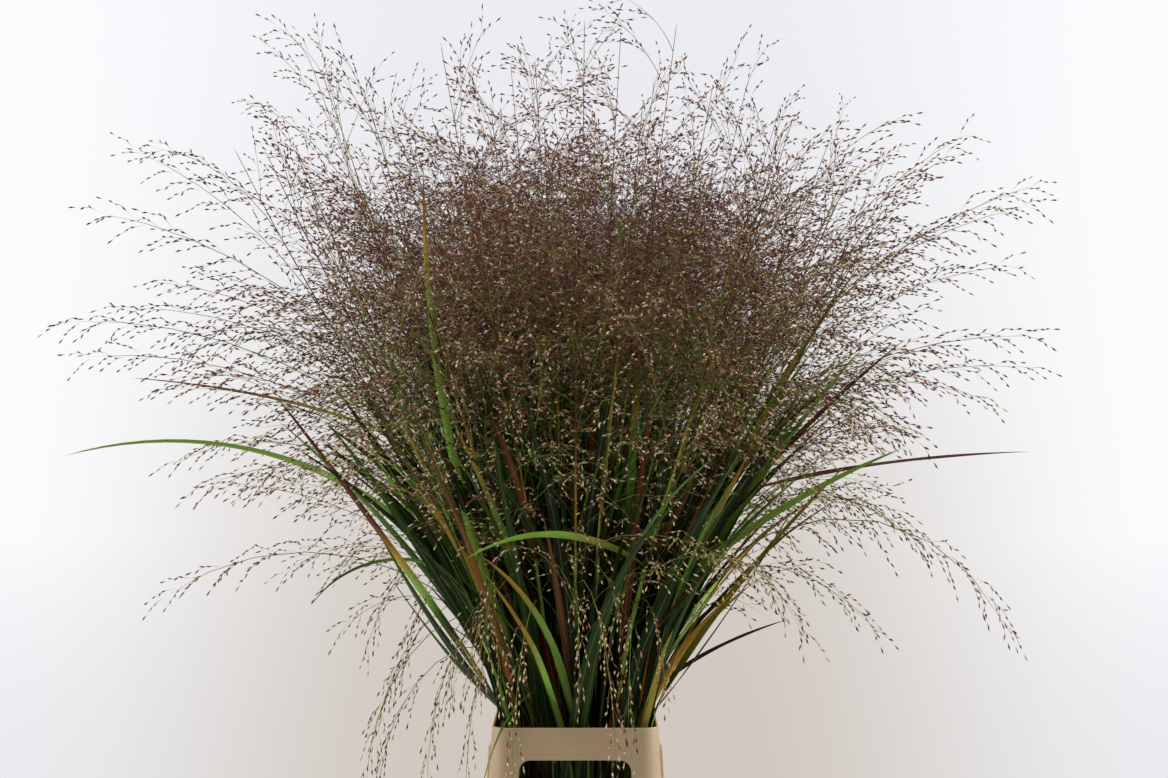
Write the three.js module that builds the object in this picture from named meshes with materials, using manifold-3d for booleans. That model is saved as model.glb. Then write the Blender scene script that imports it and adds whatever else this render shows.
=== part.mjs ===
// A bunch of cut switchgrass standing in water in a two-part flower-shop container.
// Millimetres, +Z up. The origin is the middle of the bucket's underside, X runs across the
// container's narrow side and Y along its long side.
//
// The container is a bucket, the water in it and a collar that stands on the bucket's ledge.
// Every stem is one solid: its culm, its leaf blades and the branches of its open panicle with
// their spikelets. All culms follow one common flare, so they never cross. Blades and branches
// are drawn by a seeded rule, and a draw that would touch what already stands is thrown away.

import * as THREE from "three";
import { mergeVertices } from "three/addons/utils/BufferGeometryUtils.js";
import Module from "manifold-3d";

const wasm = await Module();
wasm.setup();

// ---------------------------------------------------------------- container

const SEAT_GAP = 0.3; // between pieces that rest on each other
const CORNER_STEPS = 3; // flat faces in each rounded corner

const BUCKET = {
  wall: 2.5,
  floor: 3,
  footHalfX: 82,
  footHalfY: 126,
  footCorner: 22,
  ledgeHeight: 165, // underside of the step that carries the collar
  ledgeHalfX: 90,
  ledgeHalfY: 134,
  ledgeCorner: 28,
  rimHalfX: 100,
  rimHalfY: 144,
  rimCorner: 34,
  height: 200,
  lip: 3, // how far the rim's rolled lip stands out
  lipHeight: 7,
};

const COLLAR = {
  wall: 2.2,
  height: 450, // of its top edge above the bucket's underside
  topHalfX: 75.2,
  topHalfY: 122,
  topCorner: 15,
  draft: 0.0638, // how far each wall moves out for each millimetre down
  cornerGrowth: 0.045, // how much the corner radius grows for each millimetre down
  windowTop: 421,
  windowBottom: 250,
  windowHalfWidth: 50.4, // at the window's top; its sides follow the draft
  windowCorner: 10,
  ribTop: 428,
  ribBottom: 206,
  ribHalfWidth: 3,
  ribStandsOut: 3.6,
  ribPlace: 62, // of the two ribs on each long side, from its middle
};

// The air in each window, which no blade or branch enters: half-width, heights, and how far its
// two ends are from the middle of the container.
const WINDOW_AIR = { halfX: 46, low: 256, high: 415, innerY: 117, outerY: 139 };

const WATER = { top: 62, holeReach: 5.2 }; // from the middle of a three-sided hole to its corners

// ---------------------------------------------------------------- stems

const STEM_COUNT = 40;
const GOLDEN_ANGLE = Math.PI * (3 - Math.sqrt(5));
const CULM_SIDES = 5;
const CULM_FOOT = BUCKET.floor + SEAT_GAP;

// Height, and the half-width and half-depth of the bunch of culms there.
const FLARE = [
  [CULM_FOOT, 48, 80],
  [450, 66, 104],
  [520, 84, 114],
  [620, 126, 146],
  [760, 202, 208],
  [900, 284, 282],
  [1150, 415, 412],
];
const CULM_RADII = [2.1, 1.9, 1.75, 1.55, 1.15, 0.8]; // at the heights above

const TOP_MIDDLE = 1075; // height of the panicles' tips in the middle of the bunch
const TOP_EDGE_DROP = 130; // how much lower the outermost ones end
const TOP_SPREAD = 42;
const PANICLE_LENGTH = 420;
const PANICLE_LOWEST = 505; // no panicle starts lower than this
const OWN_TOPS = new Map([ // stems in front whose panicles are low, and one that stands out
  [36, 850],
  [28, 905],
  [31, 930],
  [20, 960],
  [22, 1095],
]);

const BRANCHES_PER_STEM = 4;
const BRANCH_SIDES = 3;
const BRANCH_RADIUS = 0.42;
const SPIKELET_RADIUS = 0.95;
const SPIKELET_HALF_LENGTH = 2.4;

const BLADE_DEPTH = 1.1; // from the blade's face to its midrib's back
const BLADES_PER_STEM = 2;
const BLADE_LONGEST = 520;
const BLADE_TIPS = 830; // height that only the blades listed below outgrow
const PATH_STEPS = 96; // in which a blade's or branch's curve is worked out
const CLEARANCE = 0.45;
const DRAWS = 60; // how often a blade or branch is drawn again before it is left out

const LEAF_GREEN = 0x4f7a2a;
const GRASS_BROWN = 0x6d5a45;

// Blades that stand out from the bunch. Angles in degrees: azimuth 0 points along +X, and tilt
// is measured from straight up, from the blade's root to its tip.
// stem, height, azimuth, first tilt, last tilt, power of the bend, length, width, twist
const SHOW_BLADES = [
  [38, 536, 184, 26, 106, 0.9, 455, 10.5, 40],
  [20, 470, 196, 27, 0, 0.8, 503, 9.5, 75],
  [31, 455, 5, 4, 3, 1, 430, 9.5, 80],
  [23, 470, 340, 18, -62, 3, 270, 9, 60],
  [31, 610, 200, 60, 118, 1.2, 200, 8, 35],
  [28, 455, 175, -4, 95, 3, 310, 5.5, 50],
  [31, 536, 352, 44, 68, 1, 300, 10.5, 50],
  [34, 648, 356, 66, 88, 0.5, 300, 6, 40],
  [26, 545, 2, 30, 52, 0.8, 350, 7, 60],
  [29, 590, 8, 30, 36, 1, 350, 7, 60],
  [39, 500, 350, 24, 42, 1, 350, 10.5, 55],
  [39, 405, 350, 15, 45, 0.4, 325, 9.5, 50],
  [34, 458, 350, 34, 72, 0.5, 160, 5.5, 50],
  [33, 440, 186, 30, 38, 0.5, 380, 9, 60],
  [25, 440, 182, 22, 50, 0.7, 370, 10, 45],
  [30, 695, 176, 60, 86, 0.6, 300, 5, 45],
  [25, 545, 190, 34, 146, 1.1, 205, 7, 40],
  [28, 462, 222, 40, 160, 0.45, 150, 6, 50],
];

// Branches that hang beside and in front of the collar, in the same terms.
// stem, height, azimuth, first tilt, last tilt, power of the bend, length
const HANGING_BRANCHES = [
  [33, 530, 192, 50, 178, 0.42, 215],
  [38, 512, 178, 45, 178, 0.36, 200],
  [22, 540, 168, 50, 176, 0.42, 215],
  [28, 560, 262, 48, 170, 0.5, 240],
  [36, 580, 282, 50, 168, 0.5, 240],
  [31, 560, 266, 45, 165, 0.5, 205],
];

// ---------------------------------------------------------------- small helpers

const radians = (degrees) => (degrees * Math.PI) / 180;
const mix = (from, to, share) => from + (to - from) * share;

/** Random numbers from 0 to 1 that depend only on the whole numbers given. */
function seededRandom(...keys) {
  let state = 0x1f35e;
  for (const key of keys) {
    state = Math.imul(state ^ (key + 0x9e37), 0x85ebca6b) >>> 0;
    state = (state ^ (state >>> 13)) >>> 0;
  }
  return () => {
    state = (state + 0x6d2b79f5) >>> 0;
    let mixed = Math.imul(state ^ (state >>> 15), state | 1) >>> 0;
    mixed = (mixed ^ ((mixed + Math.imul(mixed ^ (mixed >>> 7), mixed | 61)) >>> 0)) >>> 0;
    return ((mixed ^ (mixed >>> 14)) >>> 0) / 4294967296;
  };
}

/** Whether the fold a-c of a bent quadrilateral a-b-c-d, counter-clockwise seen from outside,
 * stands further out than its fold b-d. */
function foldsOutward(a, b, c, d) {
  const outward = c.clone().sub(a).cross(d.clone().sub(b));
  return a.clone().add(c).sub(b).sub(d).dot(outward) >= 0;
}

/** A closed surface through rings of equally many points, each counter-clockwise round the
 * way of travel. It ends in a flat cap, in the point given, or back at its first ring. Where it
 * is twisted its quadrilaterals fold outward, so that opposite walls never cross. */
function loft(rings, { tip = null, closed = false } = {}) {
  const sides = rings[0].length;
  const points = rings.flat();
  const faces = [];
  const bands = closed ? rings.length : rings.length - 1;
  for (let band = 0; band < bands; band++) {
    const low = band * sides;
    const high = ((band + 1) % rings.length) * sides;
    for (let side = 0; side < sides; side++) {
      const next = (side + 1) % sides;
      const [a, b, c, d] = [low + side, low + next, high + next, high + side];
      if (foldsOutward(points[a], points[b], points[c], points[d])) faces.push(a, b, c, a, c, d);
      else faces.push(a, b, d, b, c, d);
    }
  }
  const last = (rings.length - 1) * sides;
  if (!closed) {
    for (let side = 1; side < sides - 1; side++) faces.push(0, side + 1, side);
    for (let side = 1; side < sides - 1 && !tip; side++)
      faces.push(last, last + side, last + side + 1);
  }
  if (tip) {
    points.push(tip);
    for (let side = 0; side < sides; side++)
      faces.push(last + side, last + ((side + 1) % sides), points.length - 1);
  }
  const geometry = new THREE.BufferGeometry().setFromPoints(points);
  geometry.setIndex(faces);
  return geometry;
}

/** A closed geometry as a solid that can be joined and cut. */
function solidFrom(geometry) {
  const bare = geometry.clone();
  bare.deleteAttribute("normal");
  bare.deleteAttribute("uv");
  const merged = mergeVertices(bare, 1e-4);
  return new wasm.Manifold(
    new wasm.Mesh({
      numProp: 3,
      vertProperties: new Float32Array(merged.attributes.position.array),
      triVerts: new Uint32Array(merged.index.array),
    }),
  );
}

/** A solid as a geometry again. */
function geometryFrom(solid) {
  const mesh = solid.getMesh();
  const geometry = new THREE.BufferGeometry();
  geometry.setAttribute("position", new THREE.BufferAttribute(mesh.vertProperties, 3));
  geometry.setIndex(new THREE.BufferAttribute(mesh.triVerts, 1));
  geometry.computeVertexNormals();
  return geometry;
}

function meshOf(name, solid, look) {
  const mesh = new THREE.Mesh(geometryFrom(solid), new THREE.MeshStandardMaterial(look));
  mesh.name = name;
  return mesh;
}

// ---------------------------------------------------------------- bucket, water and collar

/** A level ring in the shape of a rectangle with round corners. */
function roundedRing(halfX, halfY, corner, height) {
  const ring = [];
  for (let quarter = 0; quarter < 4; quarter++) {
    const signX = quarter === 0 || quarter === 3 ? 1 : -1;
    const signY = quarter < 2 ? 1 : -1;
    for (let step = 0; step <= CORNER_STEPS; step++) {
      const angle = ((quarter + step / CORNER_STEPS) * Math.PI) / 2;
      const x = signX * (halfX - corner) + corner * Math.cos(angle);
      const y = signY * (halfY - corner) + corner * Math.sin(angle);
      ring.push(new THREE.Vector3(x, y, height));
    }
  }
  return ring;
}

function makeBucket() {
  const b = BUCKET;
  const inner = b.wall;
  const lip = b.height - b.lipHeight;
  const ledgeTop = b.ledgeHeight + b.floor;
  return loft([
    roundedRing(b.footHalfX, b.footHalfY, b.footCorner, 0),
    roundedRing(b.ledgeHalfX, b.ledgeHalfY, b.ledgeCorner, b.ledgeHeight),
    roundedRing(b.rimHalfX, b.rimHalfY, b.rimCorner, b.ledgeHeight),
    roundedRing(b.rimHalfX + 1, b.rimHalfY + 1, b.rimCorner + 1, lip),
    roundedRing(b.rimHalfX + b.lip, b.rimHalfY + b.lip, b.rimCorner + b.lip, lip),
    roundedRing(b.rimHalfX + b.lip, b.rimHalfY + b.lip, b.rimCorner + b.lip, b.height),
    roundedRing(b.rimHalfX + 1 - inner, b.rimHalfY + 1 - inner, b.rimCorner - 1, b.height),
    roundedRing(b.rimHalfX - inner, b.rimHalfY - inner, b.rimCorner - inner, ledgeTop),
    roundedRing(b.ledgeHalfX - inner, b.ledgeHalfY - inner, b.ledgeCorner - inner, ledgeTop),
    roundedRing(b.footHalfX - inner, b.footHalfY - inner, b.footCorner - inner, b.floor),
  ]);
}

/** Half-sizes and corner radius of the bucket's inside at a height under its ledge. */
function bucketInside(height) {
  const b = BUCKET;
  const share = (height - b.floor) / b.ledgeHeight;
  return [
    mix(b.footHalfX, b.ledgeHalfX, share) - b.wall,
    mix(b.footHalfY, b.ledgeHalfY, share) - b.wall,
    mix(b.footCorner, b.ledgeCorner, share) - b.wall,
  ];
}

function makeWater(stems) {
  const rings = [CULM_FOOT, WATER.top].map((height) => {
    const [halfX, halfY, corner] = bucketInside(height);
    return roundedRing(halfX - SEAT_GAP, halfY - SEAT_GAP, corner - SEAT_GAP, height);
  });
  let water = solidFrom(loft(rings));
  for (const stem of stems) {
    const hole = [CULM_FOOT - 1, WATER.top + 1].map((height) => {
      const middle = culmPoint(stem, height);
      return [0, 1, 2].map((corner) => {
        const angle = (corner * 2 * Math.PI) / 3;
        return new THREE.Vector3(Math.cos(angle), Math.sin(angle), 0)
          .multiplyScalar(WATER.holeReach).add(middle);
      });
    });
    water = water.subtract(solidFrom(loft(hole)));
  }
  return water;
}

/** Half-sizes and corner radius of the collar's outside at a height. */
function collarOutside(height) {
  const down = COLLAR.height - height;
  return [
    COLLAR.topHalfX + COLLAR.draft * down,
    COLLAR.topHalfY + COLLAR.draft * down,
    COLLAR.topCorner + COLLAR.cornerGrowth * down,
  ];
}

/** The prism that cuts the windows in the collar's two narrow faces. */
function windowCutter() {
  const c = COLLAR;
  const shape = new THREE.Shape();
  const low = c.windowHalfWidth + c.draft * (c.windowTop - c.windowBottom);
  const r = c.windowCorner;
  shape.moveTo(-low + r, c.windowBottom);
  shape.lineTo(low - r, c.windowBottom);
  shape.quadraticCurveTo(low, c.windowBottom, low, c.windowBottom + r);
  shape.lineTo(c.windowHalfWidth, c.windowTop - r);
  shape.quadraticCurveTo(c.windowHalfWidth, c.windowTop, c.windowHalfWidth - r, c.windowTop);
  shape.lineTo(-c.windowHalfWidth + r, c.windowTop);
  shape.quadraticCurveTo(-c.windowHalfWidth, c.windowTop, -c.windowHalfWidth, c.windowTop - r);
  shape.lineTo(-low, c.windowBottom + r);
  shape.quadraticCurveTo(-low, c.windowBottom, -low + r, c.windowBottom);
  const depth = 4 * c.topHalfY;
  const cutter = new THREE.ExtrudeGeometry(shape, {
    depth,
    bevelEnabled: false,
    curveSegments: CORNER_STEPS,
  });
  cutter.rotateX(Math.PI / 2);
  cutter.translate(0, depth / 2, 0);
  return cutter;
}

/** One upright rib on a long side of the collar, following its draft. */
function collarRib(side, place) {
  const c = COLLAR;
  const rings = [c.ribBottom, c.ribTop].map((height) => {
    const face = collarOutside(height)[0];
    const near = face - c.wall / 2;
    const far = face + c.ribStandsOut;
    const corners = [
      [far, c.ribHalfWidth],
      [near, c.ribHalfWidth],
      [near, -c.ribHalfWidth],
      [far, -c.ribHalfWidth],
    ];
    const ring = corners.map(([x, y]) => new THREE.Vector3(side * x, place + y, height));
    return side > 0 ? ring : ring.reverse();
  });
  return loft(rings);
}

function makeCollar() {
  const foot = BUCKET.ledgeHeight + BUCKET.floor + SEAT_GAP;
  const rings = [[foot, 0], [COLLAR.height, 0], [COLLAR.height, COLLAR.wall], [foot, COLLAR.wall]]
    .map(([height, inset]) => {
      const [halfX, halfY, corner] = collarOutside(height);
      return roundedRing(halfX - inset, halfY - inset, corner - inset, height);
    });
  let collar = solidFrom(loft(rings, { closed: true })).subtract(solidFrom(windowCutter()));
  for (const side of [-1, 1])
    for (const place of [-COLLAR.ribPlace, COLLAR.ribPlace])
      collar = collar.add(solidFrom(collarRib(side, place)));
  return collar;
}

// ---------------------------------------------------------------- where things may stand

const DEPTH_SAMPLE = 4; // spacing of the points that are tested against the container

/** Signed distance from a rectangle with round corners: below zero is inside. */
function rectangleDistance(x, y, halfX, halfY, corner) {
  const dx = Math.abs(x) - halfX + corner;
  const dy = Math.abs(y) - halfY + corner;
  const outside = Math.sqrt(Math.max(dx, 0) ** 2 + Math.max(dy, 0) ** 2);
  return outside + Math.min(Math.max(dx, dy), 0) - corner;
}

/** Whether a ball is clear of the collar's wall, the bucket and the air in the windows. */
function clearOfContainer(point, radius) {
  const margin = radius + 1.2;
  if (point.z > COLLAR.height + margin) return true;
  const air = WINDOW_AIR;
  const away = Math.abs(point.y);
  const atWindow =
    Math.abs(point.x) < air.halfX + margin &&
    point.z > air.low - margin &&
    point.z < air.high + margin;
  if (atWindow && away > air.innerY - margin && away < air.outerY + margin) return false;
  const [halfX, halfY, corner] = collarOutside(Math.min(point.z, COLLAR.height));
  const distance = rectangleDistance(point.x, point.y, halfX, halfY, corner);
  if (distance > margin + COLLAR.ribStandsOut) return point.z > BUCKET.height + margin;
  return distance < -COLLAR.wall - margin;
}

/** Shortest distance between two straight stretches a-b and c-d. */
function stretchDistance(a, b, c, d) {
  const ux = b.x - a.x, uy = b.y - a.y, uz = b.z - a.z;
  const vx = d.x - c.x, vy = d.y - c.y, vz = d.z - c.z;
  const wx = a.x - c.x, wy = a.y - c.y, wz = a.z - c.z;
  const uu = ux * ux + uy * uy + uz * uz;
  const uv = ux * vx + uy * vy + uz * vz;
  const vv = vx * vx + vy * vy + vz * vz;
  const uw = ux * wx + uy * wy + uz * wz;
  const vw = vx * wx + vy * wy + vz * wz;
  const clamp = (value) => Math.min(1, Math.max(0, value));
  const spread = uu * vv - uv * uv;
  let s = spread > 1e-9 * uu * vv ? clamp((uv * vw - vv * uw) / spread) : 0;
  const t = clamp((uv * s + vw) / vv);
  s = clamp((uv * t - uw) / uu);
  const x = wx + s * ux - t * vx, y = wy + s * uy - t * vy, z = wz + s * uz - t * vz;
  return Math.sqrt(x * x + y * y + z * z);
}

const standing = []; // stretches of everything placed so far: { a, b, radius, stem, culm }

/** The stretches of some strands. A strand is a list of points with a radius for each. */
function stretchesOf(strands, stem) {
  return strands.flatMap(({ points, radii }) =>
    points.slice(1).map((point, index) => ({
      a: points[index],
      b: point,
      radius: Math.max(radii[index], radii[index + 1]),
      stem,
      order: index,
      culm: false,
    })));
}

/** Whether stretches are clear of the container and of all that stands. The first few of them
 * grow from their own culm and may touch it. */
function isClear(stretches, ownStretches) {
  for (const s of stretches) {
    const samples = Math.max(1, Math.ceil(s.a.distanceTo(s.b) / DEPTH_SAMPLE));
    for (let i = 0; i <= samples; i++)
      if (!clearOfContainer(s.a.clone().lerp(s.b, i / samples), s.radius)) return false;
  }
  for (const s of stretches)
    for (const other of standing) {
      if (other.culm && other.stem === s.stem && s.order < ownStretches) continue;
      const reach = s.radius + other.radius + CLEARANCE;
      if (Math.min(s.a.z, s.b.z) - Math.max(other.a.z, other.b.z) > reach) continue;
      if (Math.min(other.a.z, other.b.z) - Math.max(s.a.z, s.b.z) > reach) continue;
      if (stretchDistance(s.a, s.b, other.a, other.b) < reach) return false;
    }
  return true;
}

// ---------------------------------------------------------------- culms

/** Half-width and half-depth of the bunch of culms at a height. */
function flareAt(height) {
  let knot = 1;
  while (knot < FLARE.length - 1 && FLARE[knot][0] < height) knot++;
  const [lowHeight, lowX, lowY] = FLARE[knot - 1];
  const [highHeight, highX, highY] = FLARE[knot];
  const share = (height - lowHeight) / (highHeight - lowHeight);
  return [mix(lowX, highX, share), mix(lowY, highY, share)];
}

function culmPoint(stem, height) {
  const [halfX, halfY] = flareAt(height);
  return new THREE.Vector3(stem.across * halfX, stem.along * halfY, height);
}

/** Each stem's place in the bunch: a spiral of equal spacing, pressed into a squarish outline. */
function layOutStems() {
  const stems = [];
  for (let index = 0; index < STEM_COUNT; index++) {
    const reach = Math.sqrt((index + 0.5) / STEM_COUNT);
    const angle = index * GOLDEN_ANGLE;
    const c = Math.cos(angle);
    const s = Math.sin(angle);
    const squareness = Math.sqrt(Math.sqrt(c * c * c * c + s * s * s * s));
    const random = seededRandom(1, index);
    const drop = TOP_EDGE_DROP * reach * reach;
    const tall = TOP_MIDDLE - drop + TOP_SPREAD * (2 * random() - 1);
    const top = OWN_TOPS.get(index) ?? tall;
    stems.push({
      index,
      reach,
      across: (reach * c) / squareness,
      along: (reach * s) / squareness,
      top,
      panicleBase: Math.max(PANICLE_LOWEST, top - PANICLE_LENGTH * (0.85 + 0.25 * random())),
    });
  }
  return stems;
}

/** Points and radii of a culm from its cut foot to the tip of its panicle's axis. */
function culmStrand(stem) {
  const points = [];
  const radii = [];
  FLARE.forEach(([height], knot) => {
    if (height > stem.top - 60) return;
    points.push(culmPoint(stem, height));
    radii.push(CULM_RADII[knot]);
  });
  points.push(culmPoint(stem, stem.top));
  radii.push(0.45);
  return { points, radii };
}

/** The middle of a culm at a height: on the straight stretches between its strand's points. */
function culmAxisAt(stem, height) {
  const { points } = culmStrand(stem);
  const above = Math.max(1, points.findIndex((point) => point.z > height));
  const [low, high] = [points[above - 1], points[above]];
  return low.clone().lerp(high, (height - low.z) / (high.z - low.z));
}

/** The way along a list of points at each of them. */
function waysAlong(points) {
  return points.map((point, index) => {
    const before = points[Math.max(0, index - 1)];
    const after = points[Math.min(points.length - 1, index + 1)];
    return after.clone().sub(before).normalize();
  });
}

/** A round stalk through points, with a ring at each but the last, where it ends in a point. */
function stalk(points, radii, sides) {
  const ways = waysAlong(points);
  let across = new THREE.Vector3(0.31, 0.95, 0.02);
  const rings = points.slice(0, -1).map((point, index) => {
    const way = ways[index];
    across = across.clone().addScaledVector(way, -across.dot(way)).normalize();
    const up = way.clone().cross(across);
    return Array.from({ length: sides }, (_, side) => {
      const angle = (2 * Math.PI * side) / sides;
      return point.clone()
        .addScaledVector(across, radii[index] * Math.cos(angle))
        .addScaledVector(up, radii[index] * Math.sin(angle));
    });
  });
  return loft(rings, { tip: points[points.length - 1] });
}

// ---------------------------------------------------------------- blades

const BLADE_STATIONS = [0, 0.07, 0.3, 0.55, 0.8, 1];
const BENT_STATIONS = [0, 0.06, 0.2, 0.35, 0.5, 0.65, 0.8, 0.92, 1];
const BENT_OVER = 60; // degrees of bend from which a blade gets the finer stations

/** Points along a path whose tilt changes from first to last by a power of the way along it.
 * With flow 1 the path also leans out with the culms round it, and with 0 it doesn't. */
function tiltedPath(root, plan, stations) {
  const points = [root.clone()];
  const point = root.clone();
  let station = 1;
  for (let step = 1; step <= PATH_STEPS; step++) {
    const share = (step - 0.5) / PATH_STEPS;
    const bend = Math.pow(share, plan.power);
    const tilt = radians(mix(plan.firstTilt, plan.lastTilt, bend));
    const azimuth = radians(plan.azimuth + plan.turn * share);
    const way = new THREE.Vector3(
      Math.sin(tilt) * Math.cos(azimuth),
      Math.sin(tilt) * Math.sin(azimuth),
      Math.cos(tilt),
    );
    if (plan.flow) {
      const [halfX, halfY] = flareAt(point.z);
      const [nextX, nextY] = flareAt(point.z + 1);
      const rise = plan.flow * Math.max(0, way.z);
      way.x += (rise * point.x * (nextX - halfX)) / halfX;
      way.y += (rise * point.y * (nextY - halfY)) / halfY;
      way.normalize();
    }
    point.addScaledVector(way, plan.length / PATH_STEPS);
    if (step >= stations[station] * PATH_STEPS - 1e-6) {
      points.push(point.clone());
      station++;
    }
  }
  return points;
}

/** Half-width of a blade at a share of its length: narrow at its root, drawn out to its tip. */
function bladeHalfWidth(width, share) {
  const root = 0.22 + 0.78 * Math.min(1, share / 0.12);
  return (width / 2) * root * Math.pow(1 - share * share, 0.7);
}

/** A blade's stations: points, half-widths, and the directions across it and off its face. */
function bladeFrame(root, plan) {
  const stations =
    Math.abs(plan.lastTilt - plan.firstTilt) > BENT_OVER ? BENT_STATIONS : BLADE_STATIONS;
  const points = tiltedPath(root, plan, stations);
  const ways = waysAlong(points);
  const halfWidths = stations.map((share) => bladeHalfWidth(plan.width, share));
  const across = points.map((_, index) => {
    const azimuth = radians(plan.azimuth);
    const twist = radians(plan.twist * Math.min(1, stations[index] / 0.3));
    const level = new THREE.Vector3(-Math.sin(azimuth), Math.cos(azimuth), 0);
    return level.addScaledVector(ways[index], -level.dot(ways[index]))
      .normalize().applyAxisAngle(ways[index], twist);
  });
  return { points, ways, halfWidths, across };
}

/** The solid blade: a flat face, and a back that rises to the midrib. */
function bladeGeometry({ points, ways, halfWidths, across }) {
  const rings = points.slice(0, -1).map((point, index) => {
    const off = ways[index].clone().cross(across[index]);
    const half = halfWidths[index];
    return [
      point.clone().addScaledVector(across[index], half).addScaledVector(off, BLADE_DEPTH / 2),
      point.clone().addScaledVector(across[index], -half).addScaledVector(off, BLADE_DEPTH / 2),
      point.clone().addScaledVector(off, -BLADE_DEPTH / 2),
    ];
  });
  return loft(rings, { tip: points[points.length - 1] });
}

/** Three strands that stand for a blade when it is tested against its neighbours. */
function bladeStrands({ points, halfWidths, across }) {
  const radii = halfWidths.map((half) => Math.max(0.38 * half, 0.7));
  return [-0.68, 0, 0.68].map((side) => ({
    points: points.map((point, index) =>
      point.clone().addScaledVector(across[index], side * halfWidths[index])),
    radii,
  }));
}

/** A blade's plan as the seeded rule draws it: steep in the bunch, arching at its edge. */
function drawBladePlan(stem, number, draw) {
  const random = seededRandom(2, stem.index, number, draw);
  const outward = (Math.atan2(stem.along, stem.across) * 180) / Math.PI;
  const loose = 170 - 110 * stem.reach;
  const height = number === 0 ? mix(150, 380, random()) : mix(380, 600, random());
  return {
    height,
    azimuth: outward + loose * (2 * random() - 1),
    turn: 0,
    firstTilt: 9 + 5 * random(),
    lastTilt: mix(8, 30 + 45 * stem.reach * stem.reach, random()),
    power: 1.5 + random(),
    length: Math.min(BLADE_LONGEST, BLADE_TIPS - height) * mix(0.6, 1, random()),
    width: mix(7, 11, random()),
    twist: 160 * random() - 80,
    flow: 1,
  };
}

// ---------------------------------------------------------------- branches

/** A branch's plan: long, low and drooping at the panicle's foot, short and steep near its tip. */
function drawBranchPlan(stem, number, draw) {
  const random = seededRandom(3, stem.index, number, draw);
  const share = (number + 0.15 + 0.6 * random()) / BRANCHES_PER_STEM;
  const outward = (Math.atan2(stem.along, stem.across) * 180) / Math.PI;
  const loose = 180 - 115 * stem.reach;
  const low = 1 - share;
  const open = 0.8 + 0.55 * stem.reach;
  return {
    height: mix(stem.panicleBase, stem.top - 25, share),
    azimuth: outward + loose * (2 * random() - 1),
    turn: 30 * (2 * random() - 1),
    firstTilt: 24 + 30 * low * random() + 6 * random(),
    lastTilt: 55 + 62 * low + 25 * (2 * random() - 1),
    power: 1.1,
    length: open * (90 + 210 * low) * (0.8 + 0.35 * random()),
    flow: 0,
  };
}

/** Where a branch's rings stand: its root, a joint, a spikelet on its way and one at its tip. */
function branchStations(length) {
  const half = Math.max(SPIKELET_HALF_LENGTH / length, 1 / PATH_STEPS);
  return [0, 0.34, 0.67 - half, 0.67, 0.67 + half, 1 - 2 * half, 1 - half, 1];
}

const BRANCH_RADII = [0, 0, 0, 1, 0, 0, 1, 0].map((swollen) =>
  swollen ? SPIKELET_RADIUS : BRANCH_RADIUS);

function branchStrand(root, plan) {
  return { points: tiltedPath(root, plan, branchStations(plan.length)), radii: BRANCH_RADII };
}

// ---------------------------------------------------------------- growing the stems

/** Tries draws until one is clear of everything, and keeps that one. */
function grow(stem, pieces, planFor, shapeOf, ownStretches) {
  for (let draw = 0; draw < DRAWS; draw++) {
    const plan = planFor(draw);
    const shape = shapeOf(culmAxisAt(stem, plan.height), plan);
    const stretches = stretchesOf(shape.strands, stem.index);
    if (!isClear(stretches, ownStretches)) continue;
    standing.push(...stretches);
    pieces[stem.index].push(shape.geometry());
    return;
  }
}

function shapeBlade(root, plan) {
  const frame = bladeFrame(root, plan);
  return { strands: bladeStrands(frame), geometry: () => bladeGeometry(frame) };
}

function shapeBranch(root, plan) {
  const strand = branchStrand(root, plan);
  const geometry = () => stalk(strand.points, strand.radii, BRANCH_SIDES);
  return { strands: [strand], geometry };
}

/** The plan in a row of SHOW_BLADES or HANGING_BRANCHES. After the first draw it swings round
 * its culm and up it a little, to find a place that is free. */
function listedPlan(row, draw) {
  const [, height, azimuth, firstTilt, lastTilt, power, length, width = 0, twist = 0] = row;
  const random = seededRandom(4, height, draw);
  const swing = draw ? 1 : 0;
  return {
    height: height + 30 * swing * (2 * random() - 1),
    azimuth: azimuth + 24 * swing * (2 * random() - 1),
    turn: 0,
    firstTilt,
    lastTilt,
    power,
    length,
    width,
    twist: twist + 50 * swing * (2 * random() - 1),
    flow: 0,
  };
}

function growStems() {
  const stems = layOutStems();
  const pieces = stems.map((stem) => {
    const strand = culmStrand(stem);
    for (const stretch of stretchesOf([strand], stem.index))
      standing.push({ ...stretch, culm: true });
    return [stalk(strand.points, strand.radii, CULM_SIDES)];
  });
  for (const row of SHOW_BLADES)
    grow(stems[row[0]], pieces, (draw) => listedPlan(row, draw), shapeBlade, 2);
  for (let number = 0; number < BLADES_PER_STEM; number++)
    for (const stem of stems)
      grow(stem, pieces, (draw) => drawBladePlan(stem, number, draw), shapeBlade, 2);
  for (const row of HANGING_BRANCHES)
    grow(stems[row[0]], pieces, (draw) => listedPlan(row, draw), shapeBranch, 1);
  for (let number = 0; number < BRANCHES_PER_STEM; number++)
    for (const stem of stems)
      grow(stem, pieces, (draw) => drawBranchPlan(stem, number, draw), shapeBranch, 1);
  return { stems, pieces };
}

// ---------------------------------------------------------------- the whole

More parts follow.
